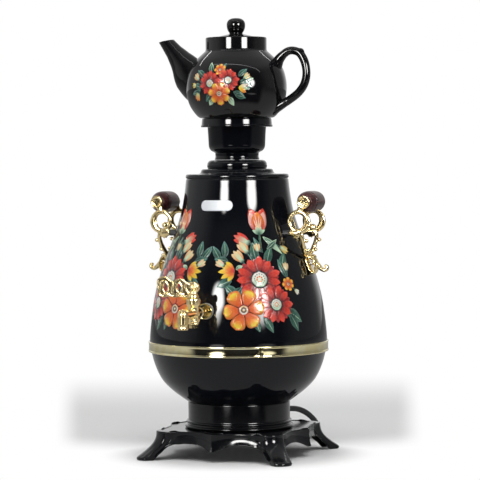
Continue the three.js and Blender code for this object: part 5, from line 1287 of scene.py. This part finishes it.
def softbox(name, turn, distance, width, low, high, strength):
    """A standing light panel whose cloth fades towards its edges."""
    bm = bmesh.new()
    bmesh.ops.create_grid(bm, x_segments=1, y_segments=1, size=1, calc_uvs=True)
    way = from_camera_turn(turn)
    place = Matrix.Translation(way * distance + (AXIS + Vector((0, 0, (low + high) / 2))))
    to_axis = (-way).to_track_quat("Z", "Y").to_matrix().to_4x4()
    matrix = place @ to_axis @ Matrix.Diagonal((width / 2, (high - low) / 2, 1, 1))
    uv = bm.loops.layers.uv.verify()
    for face in bm.faces:
        for loop in face.loops:
            loop[uv].uv = ((loop.vert.co.x + 1) / 2, (loop.vert.co.y + 1) / 2)
    bmesh.ops.transform(bm, matrix=matrix, verts=bm.verts)
    f = Finish(name)
    middle = f.vector("DISTANCE", f.node("ShaderNodeTexCoord", output=2), (0.5, 0.5, 0))
    reflected_only(name, bm, f, f.glow((1 - middle.between(0.24, 0.5)) * strength))


# Name, turn from the camera, distance, width, lower and upper edge, strength
for panel in (("left_low_panel", -26.5, 1.2, 0.46, 0.005, 0.13, 4),
              ("right_low_panel", 35, 1.2, 0.56, 0.005, 0.13, 1.4),
              ("left_softbox", -28, 1.6, 0.62, 0.36, 1.08, 46),
              ("right_softbox", 31, 1.6, 0.72, 0.34, 1.08, 44)):
    softbox(*panel)


STRIP_HEIGHT = 1.62


def ceiling_strip(name, places, strength):
    """A thin tube light under the ceiling; places are metres towards the camera and to its right."""
    above = AXIS + Vector((0, 0, STRIP_HEIGHT))
    line = [from_camera_turn(0) * a + from_camera_turn(90) * b + above for a, b in places]
    bm = swept([p * 1000 for p in line], [7] * 3, [26] * 3, 8, 8, start_side=(0, 0, 1))
    bmesh.ops.scale(bm, vec=(0.001,) * 3, verts=bm.verts)
    f = Finish(name)
    reflected_only(name, bm, f, f.glow(strength))


ceiling_strip("curved_strip", [(0.1, -0.87), (0.36, -0.5), (0.5, -0.14), (0.7, 0.7), (1.0, 1.84)], 12)
ceiling_strip("left_strip", [(-1.24, -0.76), (-1.1, -1.1), (-0.98, -1.44)], 12)
ceiling_strip("right_strip", [(-1.01, 0.71), (-1.14, 1.1), (-1.29, 1.52)], 12)

sky_light = bpy.data.lights.new("overhead_bank", "AREA")
sky_light.shape = "RECTANGLE"
sky_light.size = 2.4
sky_light.size_y = 2.0
sky_light.energy = 44
overhead = placed("overhead_bank", sky_light)
overhead.matrix_world = (Matrix.Translation(from_camera_turn(0) * 0.9 + AXIS + Vector((0, 0, 2.1)))
    @ Matrix.Rotation(CAMERA_TURN, 4, "Z") @ Matrix.Rotation(math.radians(23), 4, "X"))
overhead.visible_glossy = False

world = bpy.data.worlds.new("studio")
bpy.context.scene.world = world
sky = Finish("studio", world)
toward = sky.node("ShaderNodeTexCoord", output=0)
facing, upward, leftward = (sky.vector("DOT_PRODUCT", toward, tuple(way))
    for way in (from_camera_turn(0), (0, 0, 1), from_camera_turn(-90)))
level_reflection = (0.015 + (0.62 - facing).between(0, 0.5) * 0.3 + (-0.62 - facing).between(0, 0.3) * 0.6
    + leftward.between(0.6, 1) * 0.4)
ceiling = upward.between(0.45, 0.8) * 0.3


def background(strength):
    return sky.node("ShaderNodeBackground", None, {"Color": (1, 1, 1, 1), "Strength": strength})


is_camera, is_glossy = (sky.node("ShaderNodeLightPath", output=name) for name in ("Is Camera Ray", "Is Glossy Ray"))
lit = sky.mix(is_glossy, background(0.36), background(level_reflection + ceiling))
sky.end(sky.mix(is_camera, lit, background(1.0)), "World")

bpy.context.scene.view_settings.view_transform = "Standard"
